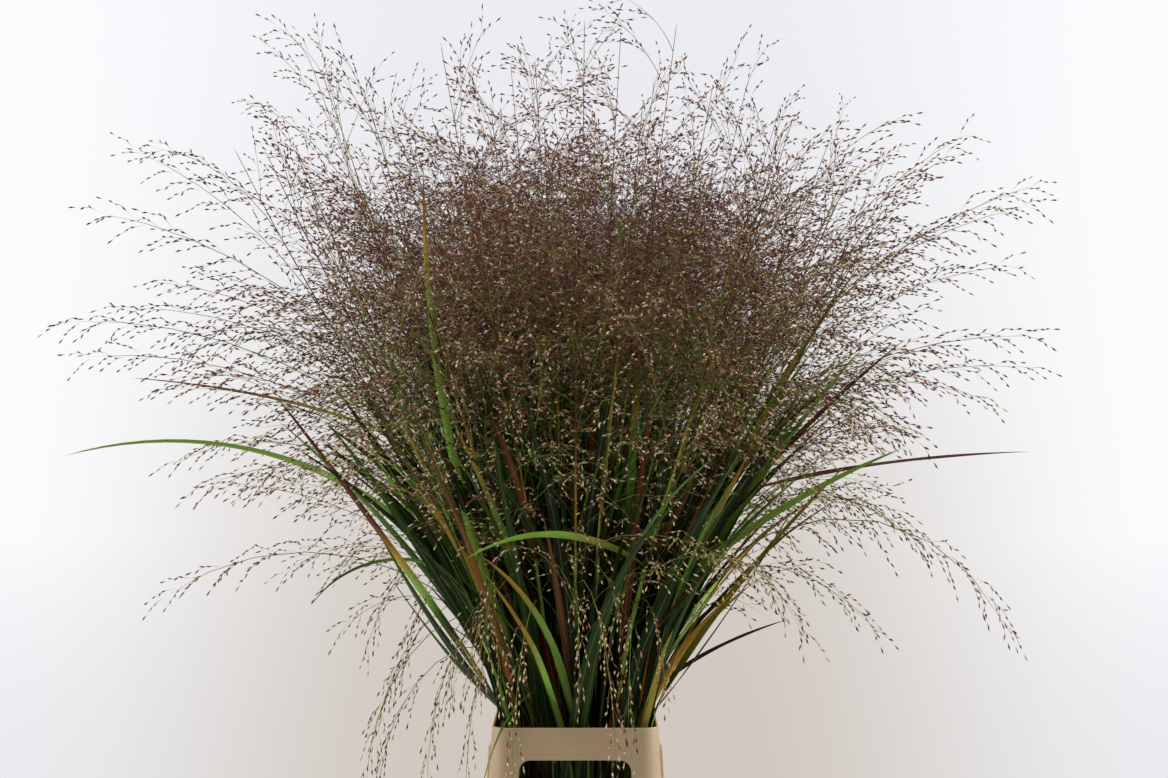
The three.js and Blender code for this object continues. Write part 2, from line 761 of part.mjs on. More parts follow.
const { stems, pieces } = growStems();
const bunch = new THREE.Group();
const plastic = { roughness: 0.55, metalness: 0 };
bunch.add(meshOf("bucket", solidFrom(makeBucket()), { color: 0x2b2c2e, ...plastic }));
bunch.add(meshOf("water", makeWater(stems), { color: 0xbfd3d6, roughness: 0.05, metalness: 0 }));
bunch.add(meshOf("collar", makeCollar(), { color: 0xb3a084, ...plastic }));
pieces.forEach((geometries, index) => {
  const [culm, ...rest] = geometries.map(solidFrom);
  const stem = rest.reduce((whole, piece) => whole.add(piece), culm);
  const color = new THREE.Color(LEAF_GREEN).lerp(new THREE.Color(GRASS_BROWN), (index % 5) / 6);
  const name = "stem_" + String(index + 1).padStart(2, "0");
  bunch.add(meshOf(name, stem, { color, roughness: 0.6, metalness: 0 }));
});

export default bunch;
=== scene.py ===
import math
from dataclasses import dataclass
from random import Random

import bmesh
import bpy
import numpy as np
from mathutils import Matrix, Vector


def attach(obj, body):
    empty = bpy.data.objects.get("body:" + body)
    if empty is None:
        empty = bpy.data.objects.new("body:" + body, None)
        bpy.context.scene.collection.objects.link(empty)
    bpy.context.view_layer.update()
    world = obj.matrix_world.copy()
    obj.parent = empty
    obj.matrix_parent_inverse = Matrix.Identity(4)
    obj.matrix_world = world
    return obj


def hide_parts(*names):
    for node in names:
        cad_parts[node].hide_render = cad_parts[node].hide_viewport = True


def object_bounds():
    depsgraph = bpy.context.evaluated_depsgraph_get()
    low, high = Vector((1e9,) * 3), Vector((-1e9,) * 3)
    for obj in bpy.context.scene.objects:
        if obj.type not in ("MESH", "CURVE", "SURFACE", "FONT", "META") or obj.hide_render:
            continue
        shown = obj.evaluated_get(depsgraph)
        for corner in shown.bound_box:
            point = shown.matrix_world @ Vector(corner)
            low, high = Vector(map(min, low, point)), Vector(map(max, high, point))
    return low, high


# The looks of a bunch of cut switchgrass that stands in a two-part flower-shop container.
#
# The growth rule below is the frame's own: it lays out the same culms, leaf blades and panicle
# branches in the same places, so the fine meshes lie on the frame's plain ones. To each panicle
# it then adds the thin branches, their branchlets and the spikelets, and to each stem a few more
# blades. Growth is worked out in millimetres, and the meshes are made in metres.

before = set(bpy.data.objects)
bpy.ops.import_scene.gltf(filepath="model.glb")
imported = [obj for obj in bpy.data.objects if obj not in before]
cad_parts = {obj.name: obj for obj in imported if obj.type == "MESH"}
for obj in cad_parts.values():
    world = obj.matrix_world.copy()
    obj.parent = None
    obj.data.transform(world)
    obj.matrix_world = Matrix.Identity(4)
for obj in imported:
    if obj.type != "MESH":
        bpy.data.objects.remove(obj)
CAD_BOX = [list(corner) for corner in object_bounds()]
MM = 0.001

# ---------------------------------------------------------------- the camera and the light

CAMERA_PLACE = (0.008, -2.3, 0.755)
CAMERA_LENS, CAMERA_SENSOR = 74.62, 36  # mm

# ---------------------------------------------------------------- sizes shared with the frame

BUCKET_HEIGHT = 200
BUCKET_FLOOR = 3
SEAT_GAP = 0.3
COLLAR_WALL = 2.2
COLLAR_HEIGHT = 450
COLLAR_TOP_HALF_X = 75.2
COLLAR_TOP_HALF_Y = 122
COLLAR_TOP_CORNER = 15
COLLAR_DRAFT = 0.0638
COLLAR_CORNER_GROWTH = 0.045
RIB_STANDS_OUT = 3.6
AIR_HALF_X, AIR_LOW, AIR_HIGH, AIR_INNER_Y, AIR_OUTER_Y = 46, 256, 415, 117, 139

STEM_COUNT = 40
GOLDEN_ANGLE = math.pi * (3 - math.sqrt(5))
CULM_FOOT = BUCKET_FLOOR + SEAT_GAP
FLARE = [  # height, and the half-width and half-depth of the bunch of culms there
    (CULM_FOOT, 48, 80),
    (450, 66, 104),
    (520, 84, 114),
    (620, 126, 146),
    (760, 202, 208),
    (900, 284, 282),
    (1150, 415, 412),
]
CULM_RADII = [2.1, 1.9, 1.75, 1.55, 1.15, 0.8]
CULM_TIP_RADIUS = 0.45
TOP_MIDDLE = 1075
TOP_EDGE_DROP = 130
TOP_SPREAD = 42
PANICLE_LENGTH = 420
PANICLE_LOWEST = 505
OWN_TOPS = {36: 850, 28: 905, 31: 930, 20: 960, 22: 1095}
BRANCHES_PER_STEM = 4
BRANCH_RADIUS = 0.42
SPIKELET_RADIUS = 0.95
SPIKELET_HALF_LENGTH = 2.4
BLADES_PER_STEM = 2
BLADE_LONGEST = 520
BLADE_TIPS = 830
PATH_STEPS = 96
CLEARANCE = 0.45
CONTAINER_CLEARANCE = 1.2
DRAWS = 60
SAMPLE_SPACING = 4
BLADE_STATIONS = [0, 0.07, 0.3, 0.55, 0.8, 1]
BENT_STATIONS = [0, 0.06, 0.2, 0.35, 0.5, 0.65, 0.8, 0.92, 1]
BENT_OVER = 60

# Blades that stand out from the bunch: the stem, counted from 0, then the terms of Plan without
# turn: height, azimuth, first and last tilt, power, length, width and twist, and the three tones.
SHOW_BLADES = [
    (38, 536, 184, 26, 106, 0.9, 455, 10.5, 40, 0.40, 0.44, 0.8),
    (20, 470, 196, 27, 0, 0.8, 503, 9.5, 75, 0.44, 0.82, 0.82),
    (31, 455, 5, 4, 3, 1, 430, 9.5, 80, 0.30, 0.84, 0.6),
    (23, 470, 340, 18, -62, 3, 270, 9, 60, 0.26, 0.36, 0.7),
    (31, 610, 200, 60, 118, 1.2, 200, 8, 35, 0.60, 0.40, 0.4),
    (28, 455, 175, -4, 95, 3, 310, 5.5, 50, 0.29, 0.52, 0.6),
    (31, 536, 352, 44, 68, 1, 300, 10.5, 50, 0.42, 0.40, 0.8),
    (34, 648, 356, 66, 88, 0.5, 300, 6, 40, 0.74, 0.93, 0.3),
    (26, 545, 2, 30, 52, 0.8, 350, 7, 60, 0.90, 0.95, 0.6),
    (29, 590, 8, 30, 36, 1, 350, 7, 60, 0.62, 0.76, 0.4),
    (39, 500, 350, 24, 42, 1, 350, 10.5, 55, 0.42, 0.40, 0.9),
    (39, 405, 350, 15, 45, 0.4, 325, 9.5, 50, 0.60, 0.66, 0.5),
    (34, 458, 350, 34, 72, 0.5, 160, 5.5, 50, 0.88, 0.92, 0.5),
    (33, 440, 186, 30, 38, 0.5, 380, 9, 60, 0.22, 0.89, 0.46),
    (25, 440, 182, 22, 50, 0.7, 370, 10, 45, 0.16, 0.34, 0.5),
    (30, 695, 176, 60, 86, 0.6, 300, 5, 45, 0.58, 0.78, 0.4),
    (25, 545, 190, 34, 146, 1.1, 205, 7, 40, 0.36, 0.30, 0.7),
    (28, 462, 222, 40, 160, 0.45, 150, 6, 50, 0.24, 0.34, 0.6),
]

# Branches that hang beside and in front of the collar, in the same terms up to length.
HANGING_BRANCHES = [
    (33, 530, 192, 50, 178, 0.42, 215),
    (38, 512, 178, 45, 178, 0.36, 200),
    (22, 540, 168, 50, 176, 0.42, 215),
    (28, 560, 262, 48, 170, 0.5, 240),
    (36, 580, 282, 50, 168, 0.5, 240),
    (31, 560, 266, 45, 165, 0.5, 205),
]

# Long branches that reach out sideways from the cloud, in the same terms.
FRINGE_BRANCHES = [
    (38, 690, 182, 50, 95, 1, 325),
    (38, 820, 176, 32, 66, 1, 250),
    (33, 700, 176, 48, 92, 1, 350),
    (33, 760, 186, 38, 80, 1, 300),
    (25, 720, 188, 46, 90, 1, 300),
    (30, 740, 172, 44, 84, 1, 280),
    (34, 690, 2, 50, 96, 1, 300),
    (34, 790, 358, 38, 74, 1, 290),
    (39, 730, 350, 44, 88, 1, 330),
    (26, 700, 356, 48, 92, 1, 310),
    (26, 770, 8, 40, 78, 1, 310),
    (29, 740, 2, 42, 84, 1, 310),
    (29, 830, 354, 30, 62, 1, 260),
    (29, 730, 5, 38, 60, 1, 230),
    (34, 720, 355, 40, 62, 1, 240),
    (26, 740, 350, 34, 58, 1, 220),
]

# Short branches that droop below the cloud, near the collar, in the same terms.
DROOPING_BRANCHES = [
    (38, 530, 245, 42, 178, 0.38, 205),
    (33, 520, 256, 38, 178, 0.36, 190),
    (30, 600, 215, 45, 170, 0.5, 165),
    (25, 590, 228, 42, 172, 0.45, 150),
    (20, 570, 235, 40, 172, 0.45, 150),
    (33, 570, 285, 35, 172, 0.42, 150),
    (28, 590, 235, 42, 172, 0.45, 160),
    (20, 580, 255, 36, 172, 0.45, 150),
    (20, 600, 262, 36, 172, 0.45, 165),
    (28, 570, 215, 40, 172, 0.45, 145),
    (36, 575, 272, 40, 170, 0.5, 150),
    (31, 560, 282, 46, 165, 0.6, 150),
    (28, 600, 300, 40, 165, 0.5, 110),
    (36, 600, 300, 40, 160, 0.5, 105),
    (31, 590, 250, 40, 160, 0.5, 105),
]

# Blades that lean out over the collar's sides, in the terms of the blades above.
LEANING_BLADES = [
    (38, 452, 190, 22, 34, 1, 300, 9, 50, 0.22, 0.40, 0.6),
    (33, 452, 200, 26, 40, 1, 330, 10, 60, 0.16, 0.30, 0.6),
    (34, 500, 355, 24, 40, 1, 330, 9, 50, 0.40, 0.46, 0.6),
    (39, 520, 340, 28, 40, 1, 300, 9, 50, 0.38, 0.50, 0.6),
    (26, 520, 0, 22, 36, 1, 330, 9, 50, 0.42, 0.50, 0.6),
    (29, 540, 10, 26, 38, 1, 300, 9, 50, 0.36, 0.48, 0.6),
    (39, 455, 340, 22, 34, 1, 300, 9, 50, 0.18, 0.36, 0.6),
    (34, 452, 2, 20, 36, 1, 320, 9, 50, 0.28, 0.44, 0.6),
    (33, 447, 205, 48, 30, 0.6, 220, 12, 20, 0.12, 0.30, 0.7),
    (38, 446, 185, 50, 34, 0.6, 170, 11, 20, 0.20, 0.36, 0.7),
    (39, 446, 335, 44, 30, 0.6, 300, 11, 20, 0.16, 0.34, 0.7),
]

# The stems whose added blades fill the collar's corners, and which corner each fills.
CORNER_STEMS = {33: (-1, -1), 39: (1, -1), 35: (-1, 1), 37: (1, 1)}
CORNER_X, CORNER_Y = 66, 106

# ---------------------------------------------------------------- the growth rule of the frame

WORD = 0xFFFFFFFF  # numbers of 32 bits


def radians(degrees):
    return degrees * math.pi / 180


def mix(start, end, share):
    return start + (end - start) * share


def seeded_random(*keys):
    """Random numbers from 0 to 1 that depend only on the whole numbers given."""
    state = 0x1F35E
    for key in keys:
        state = ((state ^ (key + 0x9E37)) * 0x85EBCA6B) & WORD
        state ^= state >> 13

    def draw():
        nonlocal state
        state = (state + 0x6D2B79F5) & WORD
        mixed = ((state ^ (state >> 15)) * (state | 1)) & WORD
        mixed ^= (mixed + (((mixed ^ (mixed >> 7)) * (mixed | 61)) & WORD)) & WORD
        return (mixed ^ (mixed >> 14)) / (WORD + 1)

    return draw


def collar_outside(height):
    """Half-sizes and corner radius of the collar's outside at a height."""
    down = COLLAR_HEIGHT - height
    return (
        COLLAR_TOP_HALF_X + COLLAR_DRAFT * down,
        COLLAR_TOP_HALF_Y + COLLAR_DRAFT * down,
        COLLAR_TOP_CORNER + COLLAR_CORNER_GROWTH * down,
    )


def clear_of_container(points, radius):
    """Whether balls at these points are clear of the collar, the bucket and the window air."""
    margin = radius + CONTAINER_CLEARANCE
    x, y, z = np.abs(points[:, 0]), np.abs(points[:, 1]), points[:, 2]
    level = (z > AIR_LOW - margin) & (z < AIR_HIGH + margin)
    through = (y > AIR_INNER_Y - margin) & (y < AIR_OUTER_Y + margin)
    in_window = (x < AIR_HALF_X + margin) & level & through
    half_x, half_y, corner = collar_outside(np.minimum(z, COLLAR_HEIGHT))
    over_x, over_y = x - half_x + corner, y - half_y + corner
    distance = np.hypot(np.maximum(over_x, 0), np.maximum(over_y, 0))
    distance = distance + np.minimum(np.maximum(over_x, over_y), 0) - corner
    outside = (distance > margin + RIB_STANDS_OUT) & (z > BUCKET_HEIGHT + margin)
    inside = (distance <= margin + RIB_STANDS_OUT) & (distance < -COLLAR_WALL - margin)
    return bool(np.all((z > COLLAR_HEIGHT + margin) | (~in_window & (outside | inside))))


def stretch_distances(a, b, c, d):
    """Shortest distances between the straight stretches a-b and c-d, each with each."""
    u, v = (b - a)[:, None, :], (d - c)[None, :, :]
    w = a[:, None, :] - c[None, :, :]
    uu, uv, vv = (u * u).sum(-1), (u * v).sum(-1), (v * v).sum(-1)
    uw, vw = (u * w).sum(-1), (v * w).sum(-1)
    spread = uu * vv - uv * uv
    parallel = spread <= 1e-9 * uu * vv
    s = np.where(parallel, 0, (uv * vw - vv * uw) / np.where(parallel, 1, spread)).clip(0, 1)
    t = ((uv * s + vw) / vv).clip(0, 1)
    s = ((uv * t - uw) / uu).clip(0, 1)
    gap = w + s[..., None] * u - t[..., None] * v
    return np.sqrt((gap * gap).sum(-1))


class Stretches:
    """Straight stretches with a radius each, as arrays."""

    def __init__(self, strands, stem, culm=False):
        self.a = np.concatenate([points[:-1] for points, _ in strands])
        self.b = np.concatenate([points[1:] for points, _ in strands])
        self.radius = np.concatenate(
            [np.maximum(radii[: len(points) - 1], radii[1 : len(points)]) for points, radii in strands])
        self.order = np.concatenate([np.arange(len(points) - 1) for points, _ in strands])
        self.own_culm = np.full(len(self.a), stem if culm else -1)


class Standing:
    """Everything that has been placed so far."""

    def __init__(self):
        self.a = self.b = np.zeros((0, 3))
        self.radius = np.zeros(0)
        self.own_culm = np.zeros(0, int)

    def add(self, new):
        for key, held in vars(self).items():
            setattr(self, key, np.concatenate([held, getattr(new, key)]))

    def is_clear(self, new, stem, own_stretches):
        for a, b, radius in zip(new.a, new.b, new.radius):
            if min(a[2], b[2]) > COLLAR_HEIGHT + radius + 2:
                continue
            samples = max(1, math.ceil(np.linalg.norm(b - a) / SAMPLE_SPACING))
            share = np.linspace(0, 1, samples + 1)[:, None]
            if not clear_of_container(a + (b - a) * share, radius):
                return False
        reach = new.radius.max() + self.radius + CLEARANCE
        low, high = np.minimum(new.a, new.b).min(0), np.maximum(new.a, new.b).max(0)
        near = np.all(np.minimum(self.a, self.b) - reach[:, None] < high, axis=1)
        near &= np.all(np.maximum(self.a, self.b) + reach[:, None] > low, axis=1)
        if not near.any():
            return True
        distances = stretch_distances(new.a, new.b, self.a[near], self.b[near])
        too_near = distances < new.radius[:, None] + self.radius[near][None, :] + CLEARANCE
        grows_here = (self.own_culm[near] == stem)[None, :] & (new.order < own_stretches)[:, None]
        return not np.any(too_near & ~grows_here)


def flare_at(height):
    """Half-width and half-depth of the bunch of culms at a height."""
    knot = 1
    while knot < len(FLARE) - 1 and FLARE[knot][0] < height:
        knot += 1
    low, low_x, low_y = FLARE[knot - 1]
    high, high_x, high_y = FLARE[knot]
    share = (height - low) / (high - low)
    return mix(low_x, high_x, share), mix(low_y, high_y, share)


class Stem:
    """One stem's place in the bunch, and the plans of what grows from it."""

    def __init__(self, index):
        self.index = index
        self.reach = math.sqrt((index + 0.5) / STEM_COUNT)
        angle = index * GOLDEN_ANGLE
        c, s = math.cos(angle), math.sin(angle)
        squareness = math.sqrt(math.sqrt(c ** 4 + s ** 4))
        random = seeded_random(1, index)
        tall = TOP_MIDDLE - TOP_EDGE_DROP * self.reach ** 2 + TOP_SPREAD * (2 * random() - 1)
        self.across = self.reach * c / squareness
        self.along = self.reach * s / squareness
        self.top = OWN_TOPS.get(index, tall)
        base = self.top - PANICLE_LENGTH * (0.85 + 0.25 * random())
        self.panicle_base = max(PANICLE_LOWEST, base)
        self.outward = math.atan2(self.along, self.across) * 180 / math.pi
        heights = [height for height, _, _ in FLARE if height <= self.top - 60]
        self.points = np.array([self.place(height) for height in heights + [self.top]])
        self.radii = np.array(CULM_RADII[: len(heights)] + [CULM_TIP_RADIUS])
        self.blades = []  # (root, plan) each
        self.branches = []

    def place(self, height):
        half_x, half_y = flare_at(height)
        return self.across * half_x, self.along * half_y, height

    def axis_at(self, height):
        """The middle of the culm at a height, on its straight stretches."""
        above = max(1, int(np.argmax(self.points[:, 2] > height)))
        low, high = self.points[above - 1], self.points[above]
        return low + (high - low) * ((height - low[2]) / (high[2] - low[2]))


@dataclass
class Plan:
    """How a blade or branch grows from its culm: its height there, the azimuth that it sets out in
    and how far that turns, its tilt from upright at root and tip, the power of the bend between
    them, and its length. A blade also has a width, a twist and tones: its root's, its tip's and
    where along it the one gives way to the other. flow is how much it follows the bunch's flare."""

    height: float
    azimuth: float
    turn: float
    first_tilt: float
    last_tilt: float
    power: float
    length: float
    width: float = 0
    twist: float = 0
    flow: float = 0
    tones: tuple = ()


def tilted_path(root, plan):
    """Points along a path whose tilt changes from first to last by a power of the way along it."""
    x, y, z = root
    path = [(x, y, z)]
    for step in range(1, PATH_STEPS + 1):
        share = (step - 0.5) / PATH_STEPS
        tilt = radians(mix(plan.first_tilt, plan.last_tilt, share ** plan.power))
        azimuth = radians(plan.azimuth + plan.turn * share)
        way_x = math.sin(tilt) * math.cos(azimuth)
        way_y = math.sin(tilt) * math.sin(azimuth)
        way_z = math.cos(tilt)
        if plan.flow:
            half_x, half_y = flare_at(z)
            next_x, next_y = flare_at(z + 1)
            rise = plan.flow * max(0, way_z)
            way_x += rise * x * (next_x - half_x) / half_x
            way_y += rise * y * (next_y - half_y) / half_y
            size = math.sqrt(way_x * way_x + way_y * way_y + way_z * way_z)
            way_x, way_y, way_z = way_x / size, way_y / size, way_z / size
        stride = plan.length / PATH_STEPS
        x, y, z = x + way_x * stride, y + way_y * stride, z + way_z * stride
        path.append((x, y, z))
    return np.array(path)


def steps_at(stations):
    """The path steps at which a path's stations lie: each at least one past the last."""
    steps = [0]
    for share in stations[1:]:
        steps.append(max(steps[-1] + 1, math.ceil(share * PATH_STEPS - 1e-6)))
    return steps


def normalised(vectors):
    """Vectors of length 1 that point the same ways."""
    return vectors / np.linalg.norm(vectors, axis=-1, keepdims=True)


def ways_along(points):
    """The way along lists of points at each of them."""
    ways = np.empty_like(points)
    ways[..., 1:-1, :] = points[..., 2:, :] - points[..., :-2, :]
    ways[..., 0, :] = points[..., 1, :] - points[..., 0, :]
    ways[..., -1, :] = points[..., -1, :] - points[..., -2, :]
    return normalised(ways)


def blade_half_width(width, share):
    root = 0.22 + 0.78 * np.minimum(1, share / 0.12)
    return (width / 2) * root * np.maximum(0, 1 - share * share) ** 0.7


def blade_across(ways, plan, shares):
    """The direction across a blade at each station."""
    azimuth = radians(plan.azimuth)
    level = np.array([-math.sin(azimuth), math.cos(azimuth), 0])
    flat = normalised(level - ways * (ways @ level)[:, None])
    twist = (radians(plan.twist) * np.minimum(1, shares / 0.3))[:, None]
    return flat * np.cos(twist) + np.cross(ways, flat) * np.sin(twist)


def blade_strands(path, plan):
    """Three strands that stand for a blade when it is tested against its neighbours."""
    bent = abs(plan.last_tilt - plan.first_tilt) > BENT_OVER
    stations = np.array(BENT_STATIONS if bent else BLADE_STATIONS)
    points = path[steps_at(stations)]
    half = blade_half_width(plan.width, stations)
    across = blade_across(ways_along(points), plan, stations)
    radii = np.maximum(0.38 * half, 0.7)
    return [(points + across * (side * half)[:, None], radii) for side in (-0.68, 0, 0.68)]


def branch_strands(path, plan):
    """The strand that stands for a branch, thick where it has its two spikelets."""
    half = max(SPIKELET_HALF_LENGTH / plan.length, 1 / PATH_STEPS)
    steps = steps_at([0, 0.34, 0.67 - half, 0.67, 0.67 + half, 1 - 2 * half, 1 - half, 1])
    thin, thick = BRANCH_RADIUS, SPIKELET_RADIUS
    return [(path[steps], np.array([thin, thin, thin, thick, thin, thin, thick, thin]))]


def draw_blade_plan(stem, number, draw=0, random=None):
    """A blade's plan as the seeded rule draws it: steep in the bunch, arching at its edge."""
    random = random or seeded_random(2, stem.index, number, draw)
    loose = 170 - 110 * stem.reach
    height = mix(150, 380, random()) if number == 0 else mix(380, 600, random())
    return Plan(
        height=height,
        azimuth=stem.outward + loose * (2 * random() - 1),
        turn=0,
        first_tilt=9 + 5 * random(),
        last_tilt=mix(8, 30 + 45 * stem.reach * stem.reach, random()),
        power=1.5 + random(),
        length=min(BLADE_LONGEST, BLADE_TIPS - height) * mix(0.6, 1, random()),
        width=mix(7, 11, random()),
        twist=160 * random() - 80,
        flow=1,
    )


def draw_branch_plan(stem, number, draw):
    """A branch's plan: long, low and drooping at the panicle's foot, short and steep on top."""
    random = seeded_random(3, stem.index, number, draw)
    share = (number + 0.15 + 0.6 * random()) / BRANCHES_PER_STEM
    loose = 180 - 115 * stem.reach
    low = 1 - share
    return Plan(
        height=mix(stem.panicle_base, stem.top - 25, share),
        azimuth=stem.outward + loose * (2 * random() - 1),
        turn=30 * (2 * random() - 1),
        first_tilt=24 + 30 * low * random() + 6 * random(),
        last_tilt=55 + 62 * low + 25 * (2 * random() - 1),
        power=1.1,
        length=(0.8 + 0.55 * stem.reach) * (90 + 210 * low) * (0.8 + 0.35 * random()),
    )


def listed_plan(row, draw=0):
    """The plan in a listed row. After the first draw it swings round its culm and up it a little."""
    _, height, azimuth, first_tilt, last_tilt, power, length, *rest = row
    width, twist, *tones = rest or (0, 0)
    random = seeded_random(4, height, draw)
    swing = 1 if draw else 0
    height += 30 * swing * (2 * random() - 1)
    azimuth += 24 * swing * (2 * random() - 1)
    twist += 50 * swing * (2 * random() - 1)
    return Plan(height, azimuth, 0, first_tilt, last_tilt, power, length, width, twist, 0, tones)


def listed_for(stem, rows):
    """The plans of the rows that are this stem's."""
    return [listed_plan(row) for row in rows if row[0] == stem.index]


def grow_stems():
    """The stems with the frame's blades and branches. Of a plan's draws, the first one that is
    clear of everything before it is kept."""
    stems = [Stem(index) for index in range(STEM_COUNT)]
    standing = Standing()
    for stem in stems:
        standing.add(Stretches([(stem.points, stem.radii)], stem.index, culm=True))

    def grow(stem, kept, plan_for, strands_of, own_stretches):
        for draw in range(DRAWS):
            plan = plan_for(draw)
            path = tilted_path(stem.axis_at(plan.height), plan)
            stretches = Stretches(strands_of(path, plan), stem.index)
            if standing.is_clear(stretches, stem.index, own_stretches):
                standing.add(stretches)
                kept.append((path, plan))
                return

    for kind, rows, count, draw_plan, *how in (
        ("blades", SHOW_BLADES, BLADES_PER_STEM, draw_blade_plan, blade_strands, 2),
        ("branches", HANGING_BRANCHES, BRANCHES_PER_STEM, draw_branch_plan, branch_strands, 1),
    ):
        for row in rows:
            stem = stems[row[0]]
            grow(stem, getattr(stem, kind), lambda draw: listed_plan(row, draw), *how)
        for number in range(count):
            for stem in stems:
                grow(stem, getattr(stem, kind), lambda draw: draw_plan(stem, number, draw), *how)
    return stems


# ---------------------------------------------------------------- collecting closed forms


class Collector:
    """Gathers many closed forms of one piece, and makes one mesh of them.

    Every vertex carries three numbers that the materials read: tone, the place on the material's
    colour ramp; along, from 0 at the form's root to 1 at its tip; and across, from -1 to 1 over a
    blade's width. Every form has its own cell in the bake map."""

    BAKE_MAP = "OFBake"
    CELL_FILL = 0.84  # of a cell that its form takes up

    def __init__(self):
        self.batches = []
        self.vertices = 0

    def add(self, rings, tone, material, root=None, tip=None, across=None, shape=1.0, weight=1.0,
            sharp_sides=()):
        """Adds K forms through rings (K, stations, sides, 3), each ending in root and tip points
        where those are given. tone is (K,) or (K, stations). shape is a form's length over its
        girth and weight its share of the bake map, both rough."""
        count, stations, sides, _ = rings.shape
        tone = np.broadcast_to(np.asarray(tone, float).reshape(count, -1), (count, stations))
        points = [rings.reshape(count, stations * sides, 3)]
        first = 0 if root is None else 1
        rows = stations - 1 + first + (tip is not None)
        along = np.repeat((np.arange(stations) + first) / rows, sides)
        across = np.zeros(sides) if across is None else np.asarray(across)
        side = np.tile(across, stations)
        tones = [np.repeat(tone, sides, axis=1)]
        if root is not None:
            points.insert(0, root[:, None, :])
            along, side = np.append(0, along), np.append(0, side)
            tones.insert(0, tone[:, :1])
        if tip is not None:
            points.append(tip[:, None, :])
            along, side = np.append(along, 1), np.append(side, 0)
            tones.append(tone[:, -1:])
        points = np.concatenate(points, axis=1)
        faces, corners = self.pattern(stations, sides, first, root is not None, tip is not None)
        sharp = np.zeros(points.shape[1], int)
        for mark, s in enumerate(sharp_sides, start=1):
            sharp[first + s : first + stations * sides : sides] = mark
        self.keep(points, faces, corners, np.concatenate(tones, axis=1), along, side, sharp,
                  material, shape, weight)

    def add_slivers(self, root, sides, tip, tone, material, shape=1.0, weight=1.0):
        """Adds K plain forms of four faces, from a root over two side points (K, 2, 3) to a tip."""
        points = np.concatenate([root[:, None], sides, tip[:, None]], axis=1)
        faces = [[0, 2, 1], [0, 1, 3], [1, 2, 3], [0, 3, 2]]
        height = (0.0, 0.5, 0.5, 1.0)
        corners = [[((k + turn) / 4, height[v]) for v, turn in zip(face, (0.1, 0.5, 0.9))]
                   for k, face in enumerate(faces)]
        tones = np.repeat(np.asarray(tone, float)[:, None], 4, axis=1)
        self.keep(points, faces, corners, tones, np.array(height), np.zeros(4), np.zeros(4, int),
                  material, shape, weight)

    def keep(self, points, faces, corners, tones, along, across, sharp, material, shape, weight):
        """Keeps K forms alike in everything but their points (K, n, 3) and tones (K, n)."""
        count, step, _ = points.shape
        sizes = np.array([len(face) for face in faces])
        offsets = self.vertices + step * np.arange(count)[:, None]
        self.batches.append({
            "points": points.reshape(-1, 3),
            "loops": (np.concatenate(faces)[None, :] + offsets).reshape(-1),
            "sizes": np.tile(sizes, count),
            "material": np.full(count * len(sizes), material),
            "tone": tones.reshape(-1),
            "along": np.tile(along, count),
            "across": np.tile(across, count),
            "sharp": np.tile(sharp, count),
            "corners": np.concatenate(corners),
            "count": count,
            "shape": shape,
            "weight": weight * count,
        })
        self.vertices += count * step

    @staticmethod
    def pattern(stations, sides, first, has_root, has_tip):
        """One form's faces, and each corner's place in its cell."""
        faces, corners = [], []
        rows = stations - 1 + has_root + has_tip
        for station in range(stations - 1):
            low, high = first + station * sides, first + (station + 1) * sides
            v0, v1 = (station + has_root) / rows, (station + 1 + has_root) / rows
            for side in range(sides):
                after = (side + 1) % sides
                u0, u1 = side / sides, (side + 1) / sides
                faces.append([low + side, low + after, high + after, high + side])
                corners.append([(u0, v0), (u1, v0), (u1, v1), (u0, v1)])
        last = first + (stations - 1) * sides
        for side in range(sides):
            after = (side + 1) % sides
            u0, u1 = side / sides, (side + 1) / sides
            if has_root:
                faces.append([0, first + after, first + side])
                corners.append([((u0 + u1) / 2, 0), (u1, 1 / rows), (u0, 1 / rows)])
            if has_tip:
                faces.append([last + side, last + after, last + sides])
                corners.append([(u0, 1 - 1 / rows), (u1, 1 - 1 / rows), ((u0 + u1) / 2, 1)])
        ends = [] if has_root else [(list(range(first + sides - 1, first - 1, -1)), -0.04)]
        if not has_tip:
            ends.append((list(range(last, last + sides)), 1.04))
        for face, v in ends:
            turns = [2 * math.pi * k / sides for k in range(sides)]
            faces.append(face)
            corners.append([(0.5 + 0.03 * math.cos(t), v + 0.03 * math.sin(t)) for t in turns])
        return faces, corners

    def bake_cells(self):
        """Corners in the bake map: a band for each batch, and a cell in it for each form."""
        total = sum(batch["weight"] for batch in self.batches)
        low = 0.0
        placed = []
        for batch in self.batches:
            height = batch["weight"] / total
            columns = max(1, round(math.sqrt(batch["count"] * batch["shape"] / height)))
            columns = min(columns, batch["count"])
            rows = math.ceil(batch["count"] / columns)
            cell = np.array([1 / columns, height / rows])
            k = np.arange(batch["count"])
            start = np.stack([k % columns, k // columns], axis=1) * cell + (0, low)
            inside = 0.5 + (batch["corners"] - 0.5) * self.CELL_FILL
            placed.append((start[:, None, :] + inside[None, :, :] * cell).reshape(-1, 2))
            low += height
        return np.concatenate(placed)

